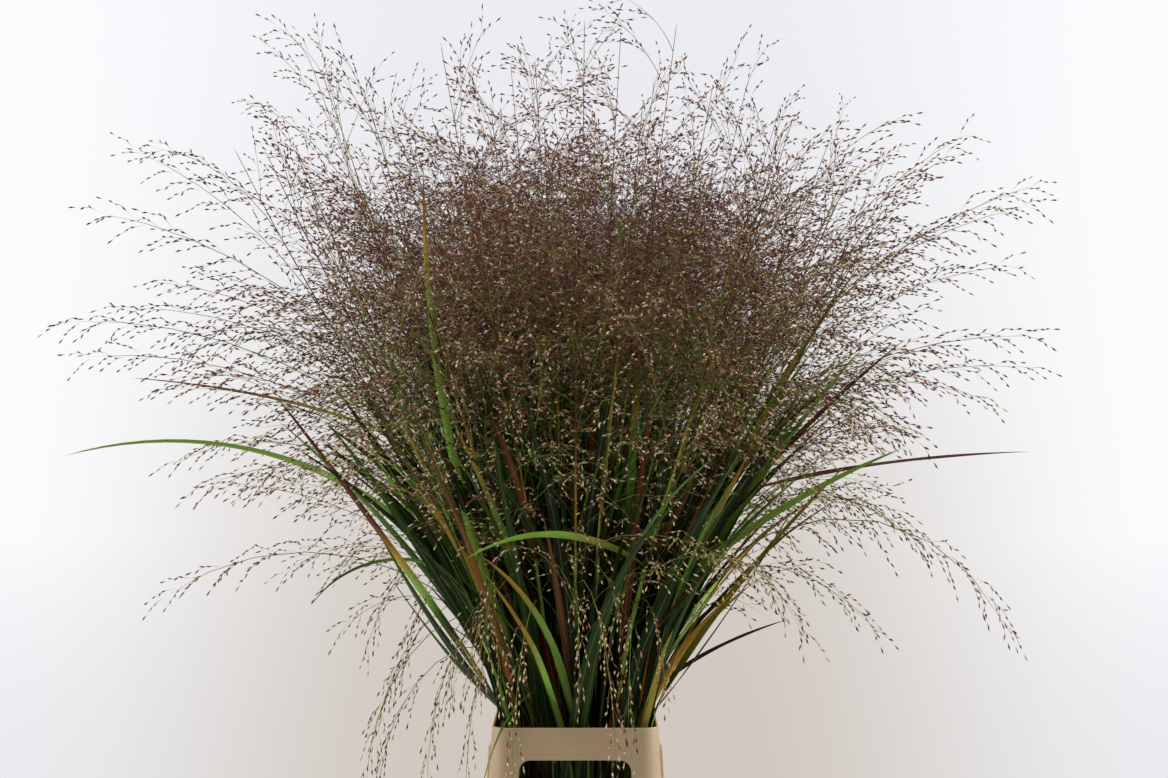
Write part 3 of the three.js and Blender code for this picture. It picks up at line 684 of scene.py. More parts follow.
    def make(self, name, materials):
        joined = {key: np.concatenate([batch[key] for batch in self.batches])
                  for key in ("points", "loops", "sizes", "material", "tone", "along", "across", "sharp")}
        mesh = bpy.data.meshes.new(name)
        mesh.vertices.add(len(joined["points"]))
        mesh.vertices.foreach_set("co", (joined["points"] * MM).astype(np.float32).ravel())
        mesh.loops.add(len(joined["loops"]))
        mesh.loops.foreach_set("vertex_index", joined["loops"].astype(np.int32))
        starts = np.concatenate([[0], np.cumsum(joined["sizes"])[:-1]])
        mesh.polygons.add(len(joined["sizes"]))
        mesh.polygons.foreach_set("loop_start", starts.astype(np.int32))
        mesh.polygons.foreach_set("material_index", joined["material"].astype(np.int32))
        mesh.update(calc_edges=True)
        for key in ("tone", "along", "across"):
            attribute = mesh.attributes.new(key, "FLOAT", "POINT")
            attribute.data.foreach_set("value", joined[key].astype(np.float32))
        ends = np.zeros(len(mesh.edges) * 2, np.int32)
        mesh.edges.foreach_get("vertices", ends)
        marks = joined["sharp"][ends.reshape(-1, 2)]
        edge = mesh.attributes.new("sharp_edge", "BOOLEAN", "EDGE")
        edge.data.foreach_set("value", (marks[:, 0] > 0) & (marks[:, 0] == marks[:, 1]))
        bake_map = mesh.uv_layers.new(name=self.BAKE_MAP)
        bake_map.data.foreach_set("uv", self.bake_cells().astype(np.float32).ravel())
        mesh.shade_smooth()
        for material in materials:
            mesh.materials.append(material)
        mesh.validate()
        piece = bpy.data.objects.new(name, mesh)
        bpy.context.scene.collection.objects.link(piece)
        return piece


def tube_rings(points, radii, sides):
    """Rings (K, stations, sides, 3) of the given radii round all but the last of the points."""
    ways = ways_along(points)
    helper = np.broadcast_to(np.array([0.31, 0.95, 0.02]), ways[:, 0].shape)
    rings = []
    angles = 2 * math.pi * np.arange(sides) / sides
    for station in range(points.shape[1] - 1):
        way = ways[:, station]
        helper = normalised(helper - way * (helper * way).sum(-1, keepdims=True))
        up = np.cross(way, helper)
        turned = (helper[:, None, :] * np.cos(angles)[None, :, None]
                  + up[:, None, :] * np.sin(angles)[None, :, None])
        rings.append(points[:, station, None, :] + turned * radii[:, station, None, None])
    return np.stack(rings, axis=1)


def placed_at(paths, shares):
    """The point and the way at a share (K,) along each path (K, steps, 3)."""
    steps = paths.shape[1] - 1
    at = shares.clip(0, 1) * steps
    low = np.minimum(at.astype(int), steps - 1)
    part = (at - low)[:, None]
    row = np.arange(len(paths))
    start, end = paths[row, low], paths[row, low + 1]
    return start + (end - start) * part, normalised(end - start)


def branch_paths(roots, plans):
    """Branch paths (K, PATH_STEPS + 1, 3) for many plans at once."""
    values = [(p.first_tilt, p.last_tilt, p.power, p.azimuth, p.turn, p.length) for p in plans]
    first_tilt, last_tilt, power, azimuth, turn, length = np.array(values).T[..., None]
    share = ((np.arange(PATH_STEPS) + 0.5) / PATH_STEPS)[None, :]
    tilt = np.radians(mix(first_tilt, last_tilt, share ** power))
    azimuth = np.radians(azimuth + turn * share)
    ways = np.stack([np.sin(tilt) * np.cos(azimuth), np.sin(tilt) * np.sin(azimuth), np.cos(tilt)], -1)
    moved = np.cumsum(ways * (length / PATH_STEPS)[..., None], axis=1)
    return np.concatenate([np.zeros((len(plans), 1, 3)), moved], axis=1) + roots[:, None, :]


def sides_of(ways, rolls):
    """For each way a direction square to it that its roll picks."""
    helper = np.where(np.abs(ways[:, 2:]) < 0.9, (0.0, 0.0, 1.0), (1.0, 0.0, 0.0))
    one = normalised(np.cross(ways, helper))
    two = np.cross(ways, one)
    return one * np.cos(rolls)[:, None] + two * np.sin(rolls)[:, None]


def turned_away(ways, angles, rolls):
    """Each way turned by its angle towards a side that its roll picks."""
    return ways * np.cos(angles)[:, None] + sides_of(ways, rolls) * np.sin(angles)[:, None]


# ---------------------------------------------------------------- materials


def linear(colour):
    """A colour in 0-255 display values as linear light, with alpha."""
    shares = [part / 255 for part in colour]
    return [s / 12.92 if s <= 0.04045 else ((s + 0.055) / 1.055) ** 2.4 for s in shares] + [1]


class Paint:
    """The node tree of a material or a world, with short ways to add to it."""

    def __init__(self, owner):
        owner.use_nodes = True
        self.owner = owner
        self.tree = owner.node_tree

    def feed(self, socket, value):
        """Links a socket to another one, or sets it to a constant."""
        if isinstance(value, bpy.types.NodeSocket):
            self.tree.links.new(value, socket)
        else:
            socket.default_value = value

    def node(self, kind, inputs=None, **settings):
        made = self.tree.nodes.new("ShaderNode" + kind)
        for key, value in settings.items():
            setattr(made, key, value)
        for key, value in (inputs or {}).items():
            self.feed(made.inputs[key], value)
        return made

    def attributes(self, *names):
        return [self.node("Attribute", attribute_name=name).outputs["Fac"] for name in names]

    def maths(self, operation, a, b=0.0):
        return self.node("Math", {0: a, 1: b, 2: 0.0}, operation=operation).outputs[0]

    def plus(self, a, b):
        return self.maths("ADD", a, b)

    def times(self, a, b):
        return self.maths("MULTIPLY", a, b)

    def noise(self, vector, scale, detail=3.0, roughness=0.55):
        values = {"Vector": vector, "Scale": scale, "Detail": detail, "Roughness": roughness}
        return self.node("TexNoise", values).outputs["Fac"]

    def vector(self, x, y, z):
        return self.node("CombineXYZ", {"X": x, "Y": y, "Z": z}).outputs[0]

    def ramp(self, factor, stops):
        made = self.node("ValToRGB", {"Fac": factor})
        elements = made.color_ramp.elements
        while len(elements) < len(stops):
            elements.new(0.5)
        for element, (place, colour) in zip(elements, stops):
            element.position = place
            element.color = linear(colour)
        return made.outputs["Color"]

    def blend(self, factor, a, b):
        return self.node("Mix", {0: factor, 6: a, 7: b}, data_type="RGBA").outputs[2]

    def tinted(self, colour, tint, value, low, high, to_low=0.0, to_high=1.0):
        """The colour with a display colour mixed in where the value says."""
        return self.blend(self.spread(value, low, high, to_low, to_high), colour, linear(tint))

    def spread(self, value, low, high, to_low=0.0, to_high=1.0):
        values = {"Value": value, "From Min": low, "From Max": high, "To Min": to_low, "To Max": to_high}
        return self.node("MapRange", values, interpolation_type="SMOOTHSTEP").outputs[0]

    def place(self):
        return self.node("TexCoord").outputs["Object"]

    def bump(self, height, distance, strength=1.0):
        values = {"Height": height, "Distance": distance, "Strength": strength}
        return self.node("Bump", values).outputs[0]

    def finish(self, colour, roughness, normal=None, **more):
        shader = self.tree.nodes["Principled BSDF"]
        self.feed(shader.inputs["Base Color"], colour)
        self.feed(shader.inputs["Roughness"], roughness)
        if normal is not None:
            self.feed(shader.inputs["Normal"], normal)
        for key, value in more.items():
            self.feed(shader.inputs[key.replace("_", " ")], value)
        return self.owner


def new_paint(name):
    return Paint(bpy.data.materials.new(name))


LEAF_RAMP = [
    (0.00, (10, 19, 5)),
    (0.16, (23, 46, 8)),
    (0.30, (50, 82, 19)),
    (0.42, (148, 194, 74)),
    (0.52, (154, 176, 86)),
    (0.60, (172, 164, 66)),
    (0.67, (196, 158, 50)),
    (0.76, (150, 94, 38)),
    (0.84, (102, 56, 32)),
    (0.91, (92, 30, 24)),
    (1.00, (54, 22, 24)),
]
SPIKELET_RAMP = [
    (0.00, (62, 28, 30)),
    (0.22, (92, 48, 42)),
    (0.42, (124, 76, 58)),
    (0.60, (156, 108, 82)),
    (0.76, (198, 150, 126)),
    (0.90, (228, 198, 178)),
    (1.00, (150, 152, 84)),
]
BRANCH_RAMP = [
    (0.00, (62, 96, 26)),
    (0.35, (100, 120, 40)),
    (0.60, (130, 114, 60)),
    (0.80, (112, 74, 50)),
    (1.00, (78, 42, 36)),
]


# The third colour on the next line is painted shade at a blade's foot.
MIDRIB, BLEMISHES, PAINTED_SHADE_AT_FOOT, VEINS = (176, 184, 120), (84, 62, 36), (22, 29, 12), (20, 26, 12)
CULM_FIBRES = (46, 52, 24)
SPIKELET_FOOT, SPIKELET_POINT = (92, 84, 40), (186, 140, 96)
COLLAR_COLOURS = (168, 144, 110), (184, 163, 131), (142, 119, 86)  # base, pale and dark
BUCKET_COLOURS = (44, 45, 47), (70, 70, 70), (28, 28, 30)
WATER_COLOURS = (206, 216, 206), (188, 200, 180)


def leaf_material():
    """A blade: streaked along its veins, with a pale midrib and brown blemishes, and darker towards its
    foot with painted shade.
    """
    paint = new_paint("leaf_blade")
    tone, along, across = paint.attributes("tone", "along", "across")
    grain = paint.vector(paint.times(across, 5.0), paint.times(along, 3.0), paint.times(tone, 40.0))
    streaks = paint.noise(grain, 1.0, 4.0)
    toned = paint.plus(tone, paint.spread(streaks, 0.2, 0.8, -0.045, 0.045))
    colour = paint.ramp(toned, LEAF_RAMP)
    blemish = paint.noise(paint.place(), 160.0, 2.0)
    colour = paint.tinted(colour, BLEMISHES, blemish, 0.62, 0.78, 0.0, 0.55)
    rib = paint.spread(paint.maths("ABSOLUTE", across), 0.05, 0.16, 1.0, 0.0)
    colour = paint.blend(paint.times(rib, 0.2), colour, linear(MIDRIB))
    # Painted shade: the blade darkens towards its foot, where the foliage above would shade it.
    colour = paint.tinted(colour, PAINTED_SHADE_AT_FOOT, along, 0.0, 0.4, 0.5, 0.0)
    veins = paint.maths("SINE", paint.times(across, 34.0))
    colour = paint.tinted(colour, VEINS, veins, -1.0, 1.0, 0.0, 0.2)
    lift = paint.plus(paint.times(veins, 0.5), streaks)
    return paint.finish(colour, paint.spread(streaks, 0.2, 0.8, 0.42, 0.6),
                        paint.bump(lift, 0.0002, 0.6), Specular_IOR_Level=0.15)


def culm_material():
    """A culm in its sheaths: finely ribbed lengthwise, with mottled stretches."""
    paint = new_paint("culm")
    tone, along, across = paint.attributes("tone", "along", "across")
    mottle = paint.noise(paint.place(), 90.0, 3.0)
    grain = paint.vector(paint.times(across, 9.0), paint.times(along, 6.0), tone)
    fibres = paint.noise(grain, 1.0, 3.0)
    toned = paint.plus(tone, paint.spread(mottle, 0.25, 0.75, -0.05, 0.06))
    colour = paint.tinted(paint.ramp(toned, LEAF_RAMP), CULM_FIBRES, fibres, 0.3, 0.75, 0.0, 0.35)
    return paint.finish(colour, 0.46, paint.bump(fibres, 0.0002, 0.5), Specular_IOR_Level=0.22)


def branch_material():
    """A branch: green at its root and browner outwards, with speckles."""
    paint = new_paint("branchlet")
    tone, along = paint.attributes("tone", "along")
    toned = paint.plus(tone, paint.times(along, 0.28))
    speckle = paint.noise(paint.place(), 240.0, 2.0)
    toned = paint.plus(toned, paint.spread(speckle, 0.25, 0.75, -0.1, 0.1))
    colour = paint.ramp(toned, BRANCH_RAMP)
    return paint.finish(colour, 0.55, paint.bump(speckle, 0.0001, 0.4), Specular_IOR_Level=0.15)


def spikelet_material():
    """A spikelet: greenish at its foot, purple to cream over its glumes, with a paler tip."""
    paint = new_paint("spikelet")
    tone, along = paint.attributes("tone", "along")
    grain = paint.noise(paint.place(), 900.0, 2.0)
    toned = paint.plus(tone, paint.spread(grain, 0.25, 0.75, -0.14, 0.14))
    colour = paint.tinted(paint.ramp(toned, SPIKELET_RAMP), SPIKELET_FOOT, along, 0.0, 0.4, 0.6, 0.0)
    colour = paint.tinted(colour, SPIKELET_POINT, along, 0.72, 1.0, 0.0, 0.22)
    return paint.finish(colour, 0.5, paint.bump(grain, 0.0001, 0.5), Specular_IOR_Level=0.2)


def moulded_plastic(name, base, pale, dark, roughness):
    """Moulded plastic: a fine orange-peel skin, faint flow marks, scuffs and dust."""
    paint = new_paint(name)
    place = paint.place()
    skin = paint.noise(place, 1400.0, 2.0)
    cloud = paint.noise(place, 9.0, 4.0)
    stretched = paint.node("Mapping", {"Vector": place, "Scale": (60.0, 60.0, 4.0)}).outputs[0]
    flow = paint.noise(stretched, 1.0, 3.0)
    scuff = paint.noise(place, 55.0, 6.0, 0.7)
    colour = paint.tinted(linear(base), pale, cloud, 0.3, 0.7, 0.0, 0.6)
    colour = paint.tinted(colour, dark, flow, 0.45, 0.8, 0.0, 0.12)
    colour = paint.tinted(colour, pale, scuff, 0.6, 0.75, 0.0, 0.35)
    rough = paint.spread(scuff, 0.35, 0.75, roughness, roughness + 0.2)
    lift = paint.plus(skin, paint.times(scuff, 0.6))
    return paint.finish(colour, rough, paint.bump(lift, 0.00008, 0.5))


def water_material():
    """Still water, faintly clouded, with a barely moving surface."""
    paint = new_paint("water")
    place = paint.place()
    clear, cloudy = WATER_COLOURS
    colour = paint.tinted(linear(clear), cloudy, paint.noise(place, 14.0, 3.0), 0.3, 0.7)
    surface = paint.bump(paint.noise(place, 60.0, 2.0), 0.0004, 0.35)
    return paint.finish(colour, 0.03, surface, Transmission_Weight=0.9, IOR=1.33)


# ---------------------------------------------------------------- the fine stems

# A blade's cross-section: places across it, and how far its face or back stands off there. The
# plain one is for the added blades deep in the bunch.
FINE_SECTION = np.array([
    (1, 0), (0.5, 0.17), (0, 0.3), (-0.5, 0.17), (-1, 0), (-0.5, -0.17), (0, -0.45), (0.5, -0.17),
]).T
PLAIN_SECTION = np.array([(1, 0), (0, 0.3), (-1, 0), (0, -0.4)]).T
FINE_STATIONS, PLAIN_STATIONS = 24, 9

# Kinds of blade that no row describes: where the kind ends on a scale of all blades from 0 to 1,
# the ranges of its root's tone and of its tip's, and whether the tip's is counted from the root's.
BLADE_KINDS = [
    (0.66, (0.05, 0.31), (0, 0.12), True),
    (0.78, (0.20, 0.40), (0.66, 0.86), False),
    (0.88, (0.50, 0.62), (0.62, 0.80), False),
    (1.00, (0.74, 0.92), (0.80, 1.0), False),
]
# The kinds of the plain blades deep in the bunch, in the same terms: their dark tones are painted shade of
# the bunch's inside.
INNER_KINDS_IN_PAINTED_SHADE = [(0.88, (0.0, 0.2), (0, 0.12), True), (1.00, (0.86, 1.0), (0, 0.12), True)]

MORE_BLADES = 2  # on each stem, beyond the frame's
INNER_BLADES = 9  # plain ones
CORNER_BLADES = 6  # on each of the corner stems
BLADE_RIPPLE = 0.05  # of its half-width
BLADE_SWAY = 0.25
FOLD, FOLD_LOST, FOLD_DROP = 0.55, 0.25, 0.15  # how a blade's sides rise from its midrib
NARROW = 3  # the half-width below which a blade gets flatter
TONE_CHANGE = 0.44  # the share of a blade's length over which its tone changes

CULM_TONES = [0.08, 0.16, 0.22, 0.28, 0.34, 0.58, 0.82, 0.9]
SHOOT_TONES = [0.1, 0.16, 0.22, 0.3, 0.86, 0.94]
RIPE_TONE, JOINT_TONE = 0.87, 0.86
CULM_SIDES, SHOOT_SIDES = 7, 5
CULM_STATIONS, SHOOT_STATIONS = 16, 9
JOINT_LENGTH, JOINT_SWELLING = 5, 0.28
SHEATH_THICKNESS = 0.5
SIDE_SHOOTS = 2

WHORL_BRANCHES = 44, 40  # on a stem in the middle and at the bunch's edge
WHORL_TOP, WHORL_FOOT = 0.6, 0.13  # shares of a panicle's length past which it is thinner
TOP_LOSS, TOP_LOSS_OUTWARD, FOOT_LOSS = 0.62, 0.14, 0.5
LOW_WHORL, LOW_LOSS = 690, 0.35
CORE_BRANCHES = 72
CORE_HEIGHTS = 715, 960
CORE_DROP = 130  # at the bunch's edge
DEEP_REACH, DEEP_HEIGHT = 0.75, 810  # inside which whorls get plain forms

BRANCH_STATIONS, PLAIN_BRANCH_STATIONS = 8, 6
RIPE_HEIGHTS = 760, 940  # between which branches turn from green to brown
BARE_SHARE = 0.24  # of a branch's length before its first twig
TWIG_SPACING = 15.5
TWIG_LEAST, TWIG_SHARE = 17, 0.2  # a twig's length, and how it grows with its branch's
TWIG_RADIUS, PLAIN_TWIG_RADIUS = 0.24, 0.42
SPIKELET_SPACING = 6.4
SPIKELET_LENGTHS, SPIKELET_GIRTHS = (4.8, 7.0), (0.8, 1.05)
STALK_LENGTH, STALK_RADIUS = 1.6, 0.26
PALE_HEIGHTS, GREEN_HEIGHTS = (640, 860), (700, 760)  # spikelets turn pale or green below these
SLIVER_OPENING = 2.2  # the angle between a plain form's two sides

LEAF, CULM, BRANCH, SPIKELET = range(4)


def blade_tones(random, inner=False):
    """The tones of a blade that no row describes."""
    pick = random.random()
    kinds = INNER_KINDS_IN_PAINTED_SHADE if inner else BLADE_KINDS
    _, roots, tips, from_root = next(kind for kind in kinds if pick < kind[0])
    root = random.uniform(*roots)
    tip = random.uniform(*tips) + (root if from_root else 0)
    return root, min(1, tip), 0.5 if inner else random.uniform(0.3, 0.75)


def wave(random, shares, least, most):
    """A wave along a blade from a drawn start, through a drawn angle of least to most."""
    return np.sin(shares * random.uniform(least, most) + random.uniform(0, 6))


def add_blades(collector, blades, random, section, stations):
    """Folded blades with sharp edges that ripple and sway a little along their paths."""
    shares = np.linspace(0, 1, stations + 1)
    steps = np.round(shares * PATH_STEPS).astype(int)
    places, stands_off = section
    rings, tips, tones = [], [], []
    for path, plan in blades:
        points = path[steps]
        ways = ways_along(points)
        across = blade_across(ways, plan, shares)
        off = np.cross(ways, across)
        half = blade_half_width(plan.width, shares) * (1 + BLADE_RIPPLE * wave(random, shares, 14, 26))
        sway = BLADE_SWAY * wave(random, shares, 8, 14)
        full = np.minimum(1, half / NARROW)
        fold = np.abs(places)[None, :] * (FOLD - FOLD_LOST * shares[:, None]) - FOLD_DROP
        lift = fold * full[:, None] + stands_off + (sway * full)[:, None] * places
        ring = (points[:, None, :] + across[:, None, :] * (half[:, None] * places)[..., None]
                + off[:, None, :] * lift[..., None])
        rings.append(ring[:-1])
        tips.append(points[-1])
        root, tip, turn = plan.tones
        change = ((shares[:-1] - turn + TONE_CHANGE / 2) / TONE_CHANGE).clip(0, 1)
        tones.append(mix(root, tip, change * change * (3 - 2 * change)))
    edges = np.flatnonzero(stands_off == 0)
    collector.add(np.array(rings), np.array(tones), LEAF, tip=np.array(tips), across=places,
                  shape=18, weight=stations * 1.6, sharp_sides=edges)


def grow_more_blades(stem, count, plan_for):
    """Blades beyond the frame's, kept inside the collar's walls and out of its windows."""
    grown = []
    for number in range(count):
        for _ in range(DRAWS):
            plan = plan_for(number)
            path = tilted_path(stem.axis_at(plan.height), plan)
            low = path[path[:, 2] < COLLAR_HEIGHT + 8]
            if not len(low) or clear_of_container(low, plan.width / 2):
                grown.append((path, plan))
                break
    return grown


def outer_plan(stem, random, number):
    plan = draw_blade_plan(stem, number % 2, random=random.random)
    plan.length *= 0.8
    plan.tones = blade_tones(random)
    return plan


def inner_plan(stem, random, number):
    """A blade that stays near its own culm and darkens the inside of the bunch, by the light it blocks and
    by its dark tones, which are painted shade.
    """
    height = random.uniform(60, 380) if number % 3 == 0 else random.uniform(330, 560)
    return Plan(
        height=height,
        azimuth=random.uniform(0, 360),
        turn=0,
        first_tilt=random.uniform(2, 7),
        last_tilt=random.uniform(0, 15),
        power=1.5,
        length=min(random.uniform(300, 430), 860 - height - 60 * stem.reach),
        width=random.uniform(9, 13.5),
        twist=random.uniform(-140, 140),
        flow=1,
        tones=blade_tones(random, inner=True),
    )


def corner_plan(stem, random):
    """A blade that rises towards a corner of the collar and then leans out over its side."""
    side_x, side_y = CORNER_STEMS[stem.index]
    height = random.uniform(190, 330)
    x, y, _ = stem.axis_at(height)
    azimuth = math.degrees(math.atan2(side_y * CORNER_Y - y, side_x * CORNER_X - x))
    away = (90 - 90 * side_x - azimuth + 180) % 360 - 180
    return Plan(
        height=height,
        azimuth=azimuth + random.uniform(-20, 20),
        turn=away * random.uniform(0.8, 1.2),
        first_tilt=random.uniform(5, 11),
        last_tilt=random.uniform(32, 56),
        power=1.6,
        length=random.uniform(330, 470),
        width=random.uniform(8, 12),
        twist=random.uniform(-70, 70),
        tones=blade_tones(random),
    )


def add_stalk(collector, points, radii, sides, tone, weight):
    """A round stalk that ends in its last point, which has no radius."""
    turns = 2 * math.pi * np.arange(sides) / sides
    collector.add(tube_rings(points[None], radii[None], sides), tone, CULM, tip=points[None, -1],
                  shape=60, weight=weight, across=np.cos(turns))


def add_culm(collector, stem, random):
    """The culm, with a swollen joint now and then and sheaths below its blades."""
    joints = np.arange(random.uniform(60, 110), stem.panicle_base, random.uniform(105, 150))
    sheaths = [(plan.height - random.uniform(90, 150), plan.height + 2) for _, plan in stem.blades]
    heights = set(np.linspace(CULM_FOOT, stem.top - 8, CULM_STATIONS))
    for joint in joints:
        heights |= {joint - JOINT_LENGTH, joint - 2, joint + 2, joint + JOINT_LENGTH}
    for low, high in sheaths:
        heights |= {max(CULM_FOOT + 1, low), max(CULM_FOOT + 2, high), high + 2}
    heights = np.array(sorted(height for height in heights if height < stem.top - 6))
    points = np.array([stem.axis_at(height) for height in heights] + [stem.points[-1]])
    swollen = (1 - np.abs(heights[:, None] - joints).min(axis=1) / JOINT_LENGTH).clip(0, 1)
    wrapped = np.any([(heights >= low - 0.5) & (heights <= high + 0.5) for low, high in sheaths], axis=0)
    upward = ((heights - stem.panicle_base) / 200).clip(0, 1)
    radii = np.interp(heights, stem.points[:, 2], stem.radii)
    radii = radii * (1 + JOINT_SWELLING * swollen) + SHEATH_THICKNESS * wrapped
    radii = radii * mix(1, 0.6, upward)
    tone = random.choice(CULM_TONES) + 0.05 * np.sin(heights / 37 + stem.index) + 0.1 * wrapped
    ripening = mix(0.3, RIPE_TONE, upward) + 0.05 * np.sin(heights / 60)
    tone = np.where(heights > stem.panicle_base, ripening, tone)
    tone = np.where(swollen > 0.5, JOINT_TONE, tone)
    add_stalk(collector, points, radii, CULM_SIDES, tone, 60)


def add_side_shoots(collector, stem, random):
    """Thin shoots that leave the culm at a low joint and rise beside it into the panicle."""
    for _ in range(SIDE_SHOOTS):
        low, high = random.uniform(70, 170), stem.top - random.uniform(90, 260)
        heights = np.linspace(low, high, SHOOT_STATIONS)
        inward = radians(stem.outward + 180 + random.uniform(-80, 80))
        apart = (4 + 0.035 * (heights - low)) * ((heights - low) / 60).clip(0, 1)
        points = np.array([stem.axis_at(height) for height in heights])
        points += apart[:, None] * np.array([math.cos(inward), math.sin(inward), 0])
        radii = np.interp(heights, [low, COLLAR_HEIGHT, high], [1.5, 1.3, 0.5])
        add_stalk(collector, points, radii[:-1], SHOOT_SIDES, random.choice(SHOOT_TONES), 24)


class Sight:
    """The listed blades as the camera sees them, and what stands before them."""

    EVERY = 2  # path steps between the points that are looked at
    MARGIN = 2.5
    CLEARED = 0.75  # share of what stands before a blade that is left out

    def __init__(self, blades):
        paths = np.concatenate([path[:: self.EVERY] for path, _ in blades])
        shares = np.linspace(0, 1, PATH_STEPS + 1)[:: self.EVERY]
        halves = [blade_half_width(plan.width, shares) for _, plan in blades]
        self.half = np.concatenate(halves) + self.MARGIN
        self.across, self.up, self.away = self.seen(paths)

    @staticmethod
    def seen(points):
        across, away, up = (points - np.array(CAMERA_PLACE) / MM).T
        return across / away, up / away, away

    def leaves(self, points, draws):
        """Whether each point stays."""
        across, up, away = (part[:, None] for part in self.seen(points))
        apart = np.hypot(across - self.across, up - self.up) * self.away
        before = np.any((apart < self.half) & (away < self.away), axis=1)
        return ~before | (draws.uniform(size=len(points)) > self.CLEARED)


def whorl_branches(stem, draws):
    """Plans of the branches that stand in whorls up a panicle, beyond the frame's."""
    plans = []
    for _ in range(round(mix(*WHORL_BRANCHES, stem.reach))):
        share = draws.uniform() ** 1.5
        top_loss = TOP_LOSS + TOP_LOSS_OUTWARD * stem.reach
        if draws.uniform() < (top_loss if share > WHORL_TOP else FOOT_LOSS if share < WHORL_FOOT else 0):
            continue
        low = 1 - share
        height = mix(stem.panicle_base - 15, stem.top - 12, share)
        if height < LOW_WHORL and draws.uniform() < LOW_LOSS:
            continue
        azimuth = stem.outward + (180 - 40 * stem.reach) * draws.uniform(-1, 1)
        sideways = 1 + 0.12 * stem.reach ** 2 * math.cos(radians(azimuth)) ** 2
        longest = (0.62 + 0.36 * stem.reach) * (85 + 185 * low)
        plans.append(Plan(
            height=height,
            azimuth=azimuth,
            turn=draws.uniform(-35, 35),
            first_tilt=20 + 26 * low * draws.uniform() + 8 * draws.uniform(),
            last_tilt=44 + 60 * low + 25 * draws.uniform(-1, 1),
            power=1.1,
            length=longest * draws.uniform(0.65, 1.2) * sideways,
        ))
    return plans


def core_branches(stem, draws):
    """Plans of the short branches that crowd the middle of the cloud."""
    crowd = (1 - stem.reach ** 3) * (1 + 0.6 * stem.along)
    drop = CORE_DROP * stem.reach ** 2
    return [Plan(
        height=min(stem.top - 60, mix(*CORE_HEIGHTS, draws.beta(2.0, 1.7)) - drop),
        azimuth=draws.uniform(0, 360),
        turn=draws.uniform(-50, 50),
        first_tilt=draws.uniform(22, 55),
        last_tilt=draws.uniform(50, 105),
        power=1.0,
        length=draws.uniform(65, 140),
    ) for _ in range(round(CORE_BRANCHES * max(0, crowd)))]


def within_allowance(points):
    """Whether each point lies near enough to the frame's own box."""
    low, high = np.array(CAD_BOX) / MM
    room = 0.03 * (high - low) + 2
    return np.all((points > low - room) & (points < high + room), axis=1)


def add_branches(collector, stem, plans, draws, spread, sight=None, plain=False):
    """Branches, the twigs along them and the spikelets along the twigs. spread widens the angle
    between branch and twig, sight leaves out what stands before the listed blades, and plain
    forms have fewer faces."""
    if not plans:
        return
    roots = np.array([stem.axis_at(min(plan.height, stem.top - 10)) for plan in plans])
    lengths = np.array([plan.length for plan in plans])
    paths = branch_paths(roots, plans)
    inside = within_allowance(paths[:, -1])
    paths, lengths = paths[inside], lengths[inside]
    stations = np.linspace(0, PATH_STEPS, PLAIN_BRANCH_STATIONS if plain else BRANCH_STATIONS)
    coarse = paths[:, np.round(stations).astype(int)]
    thick = 0.23 + 0.26 * (lengths / 320)
    radii = thick[:, None] * np.linspace(1.25, 0.6, len(stations) - 1)[None, :]
    unripe, grown = RIPE_HEIGHTS
    ripe = ((coarse[:, -1, 2] - unripe) / (grown - unripe)).clip(0, 1)
    tone = draws.uniform(0.0, 0.35, len(paths)) + (0.5 if plain else 0.25) * ripe
    collector.add(tube_rings(coarse, radii, 3), tone, BRANCH, tip=coarse[:, -1], shape=50, weight=3)

    counts = np.maximum(3, np.round(lengths / TWIG_SPACING)).astype(int)
    owner, order = numbered(counts)
    rank = (order + draws.uniform(0.1, 0.9, len(owner))) / counts[owner]
    share = BARE_SHARE + (1 - BARE_SHARE) * rank ** 0.85
    at, way = placed_at(paths[owner], share)
    out = turned_away(way, np.radians(draws.uniform(12, 38, len(owner)) * spread),
                      order * 2.4 + draws.uniform(-0.6, 0.6, len(owner)))
    growth = TWIG_SHARE * lengths[owner] * (1.08 - share) ** 0.8
    length = TWIG_LEAST + growth * draws.uniform(0.5, 1.2, len(owner))
    middle = at + out * (length / 2)[:, None]
    heading = normalised(out + np.array([0, 0, -1.0]) * (0.1 + 0.012 * length)[:, None])
    twigs = np.stack([at, middle, middle + heading * (length / 2)[:, None]], axis=1)
    inside = within_allowance(twigs[:, 2])
    if sight:
        inside &= sight.leaves(twigs[:, 1], draws) & sight.leaves(twigs[:, 2], draws)
    twigs, length = twigs[inside], length[inside]
    twig_tone = tone[owner[inside]] + draws.uniform(0, 0.3, len(twigs))
    if plain:
        twigs[:, 1] = (twigs[:, 0] + twigs[:, 2]) / 2
        sides = sliver_sides(twigs[:, 1], normalised(twigs[:, 2] - twigs[:, 0]),
                             np.full(len(twigs), PLAIN_TWIG_RADIUS), draws)
        collector.add_slivers(twigs[:, 0], sides, twigs[:, 2], twig_tone, BRANCH, 16, 0.4)
    else:
        thin = np.full((len(twigs), 2), TWIG_RADIUS)
        collector.add(tube_rings(twigs, thin, 3)[:, 1:], twig_tone, BRANCH, root=twigs[:, 0],
                      tip=twigs[:, 2], shape=16, weight=0.5)
    add_spikelets(collector, twigs, length, draws, sight, plain)


def numbered(counts):
    """For counts of things on each owner, every thing's owner and its number there."""
    return np.repeat(np.arange(len(counts)), counts), np.concatenate([np.arange(n) for n in counts])


def sliver_sides(middles, ways, radii, draws):
    """The two side points (K, 2, 3) of plain forms."""
    rolls = draws.uniform(0, 2 * math.pi, len(middles))
    both = [middles + sides_of(ways, rolls + turn) * radii[:, None] for turn in (0, SLIVER_OPENING)]
    return np.stack(both, axis=1)


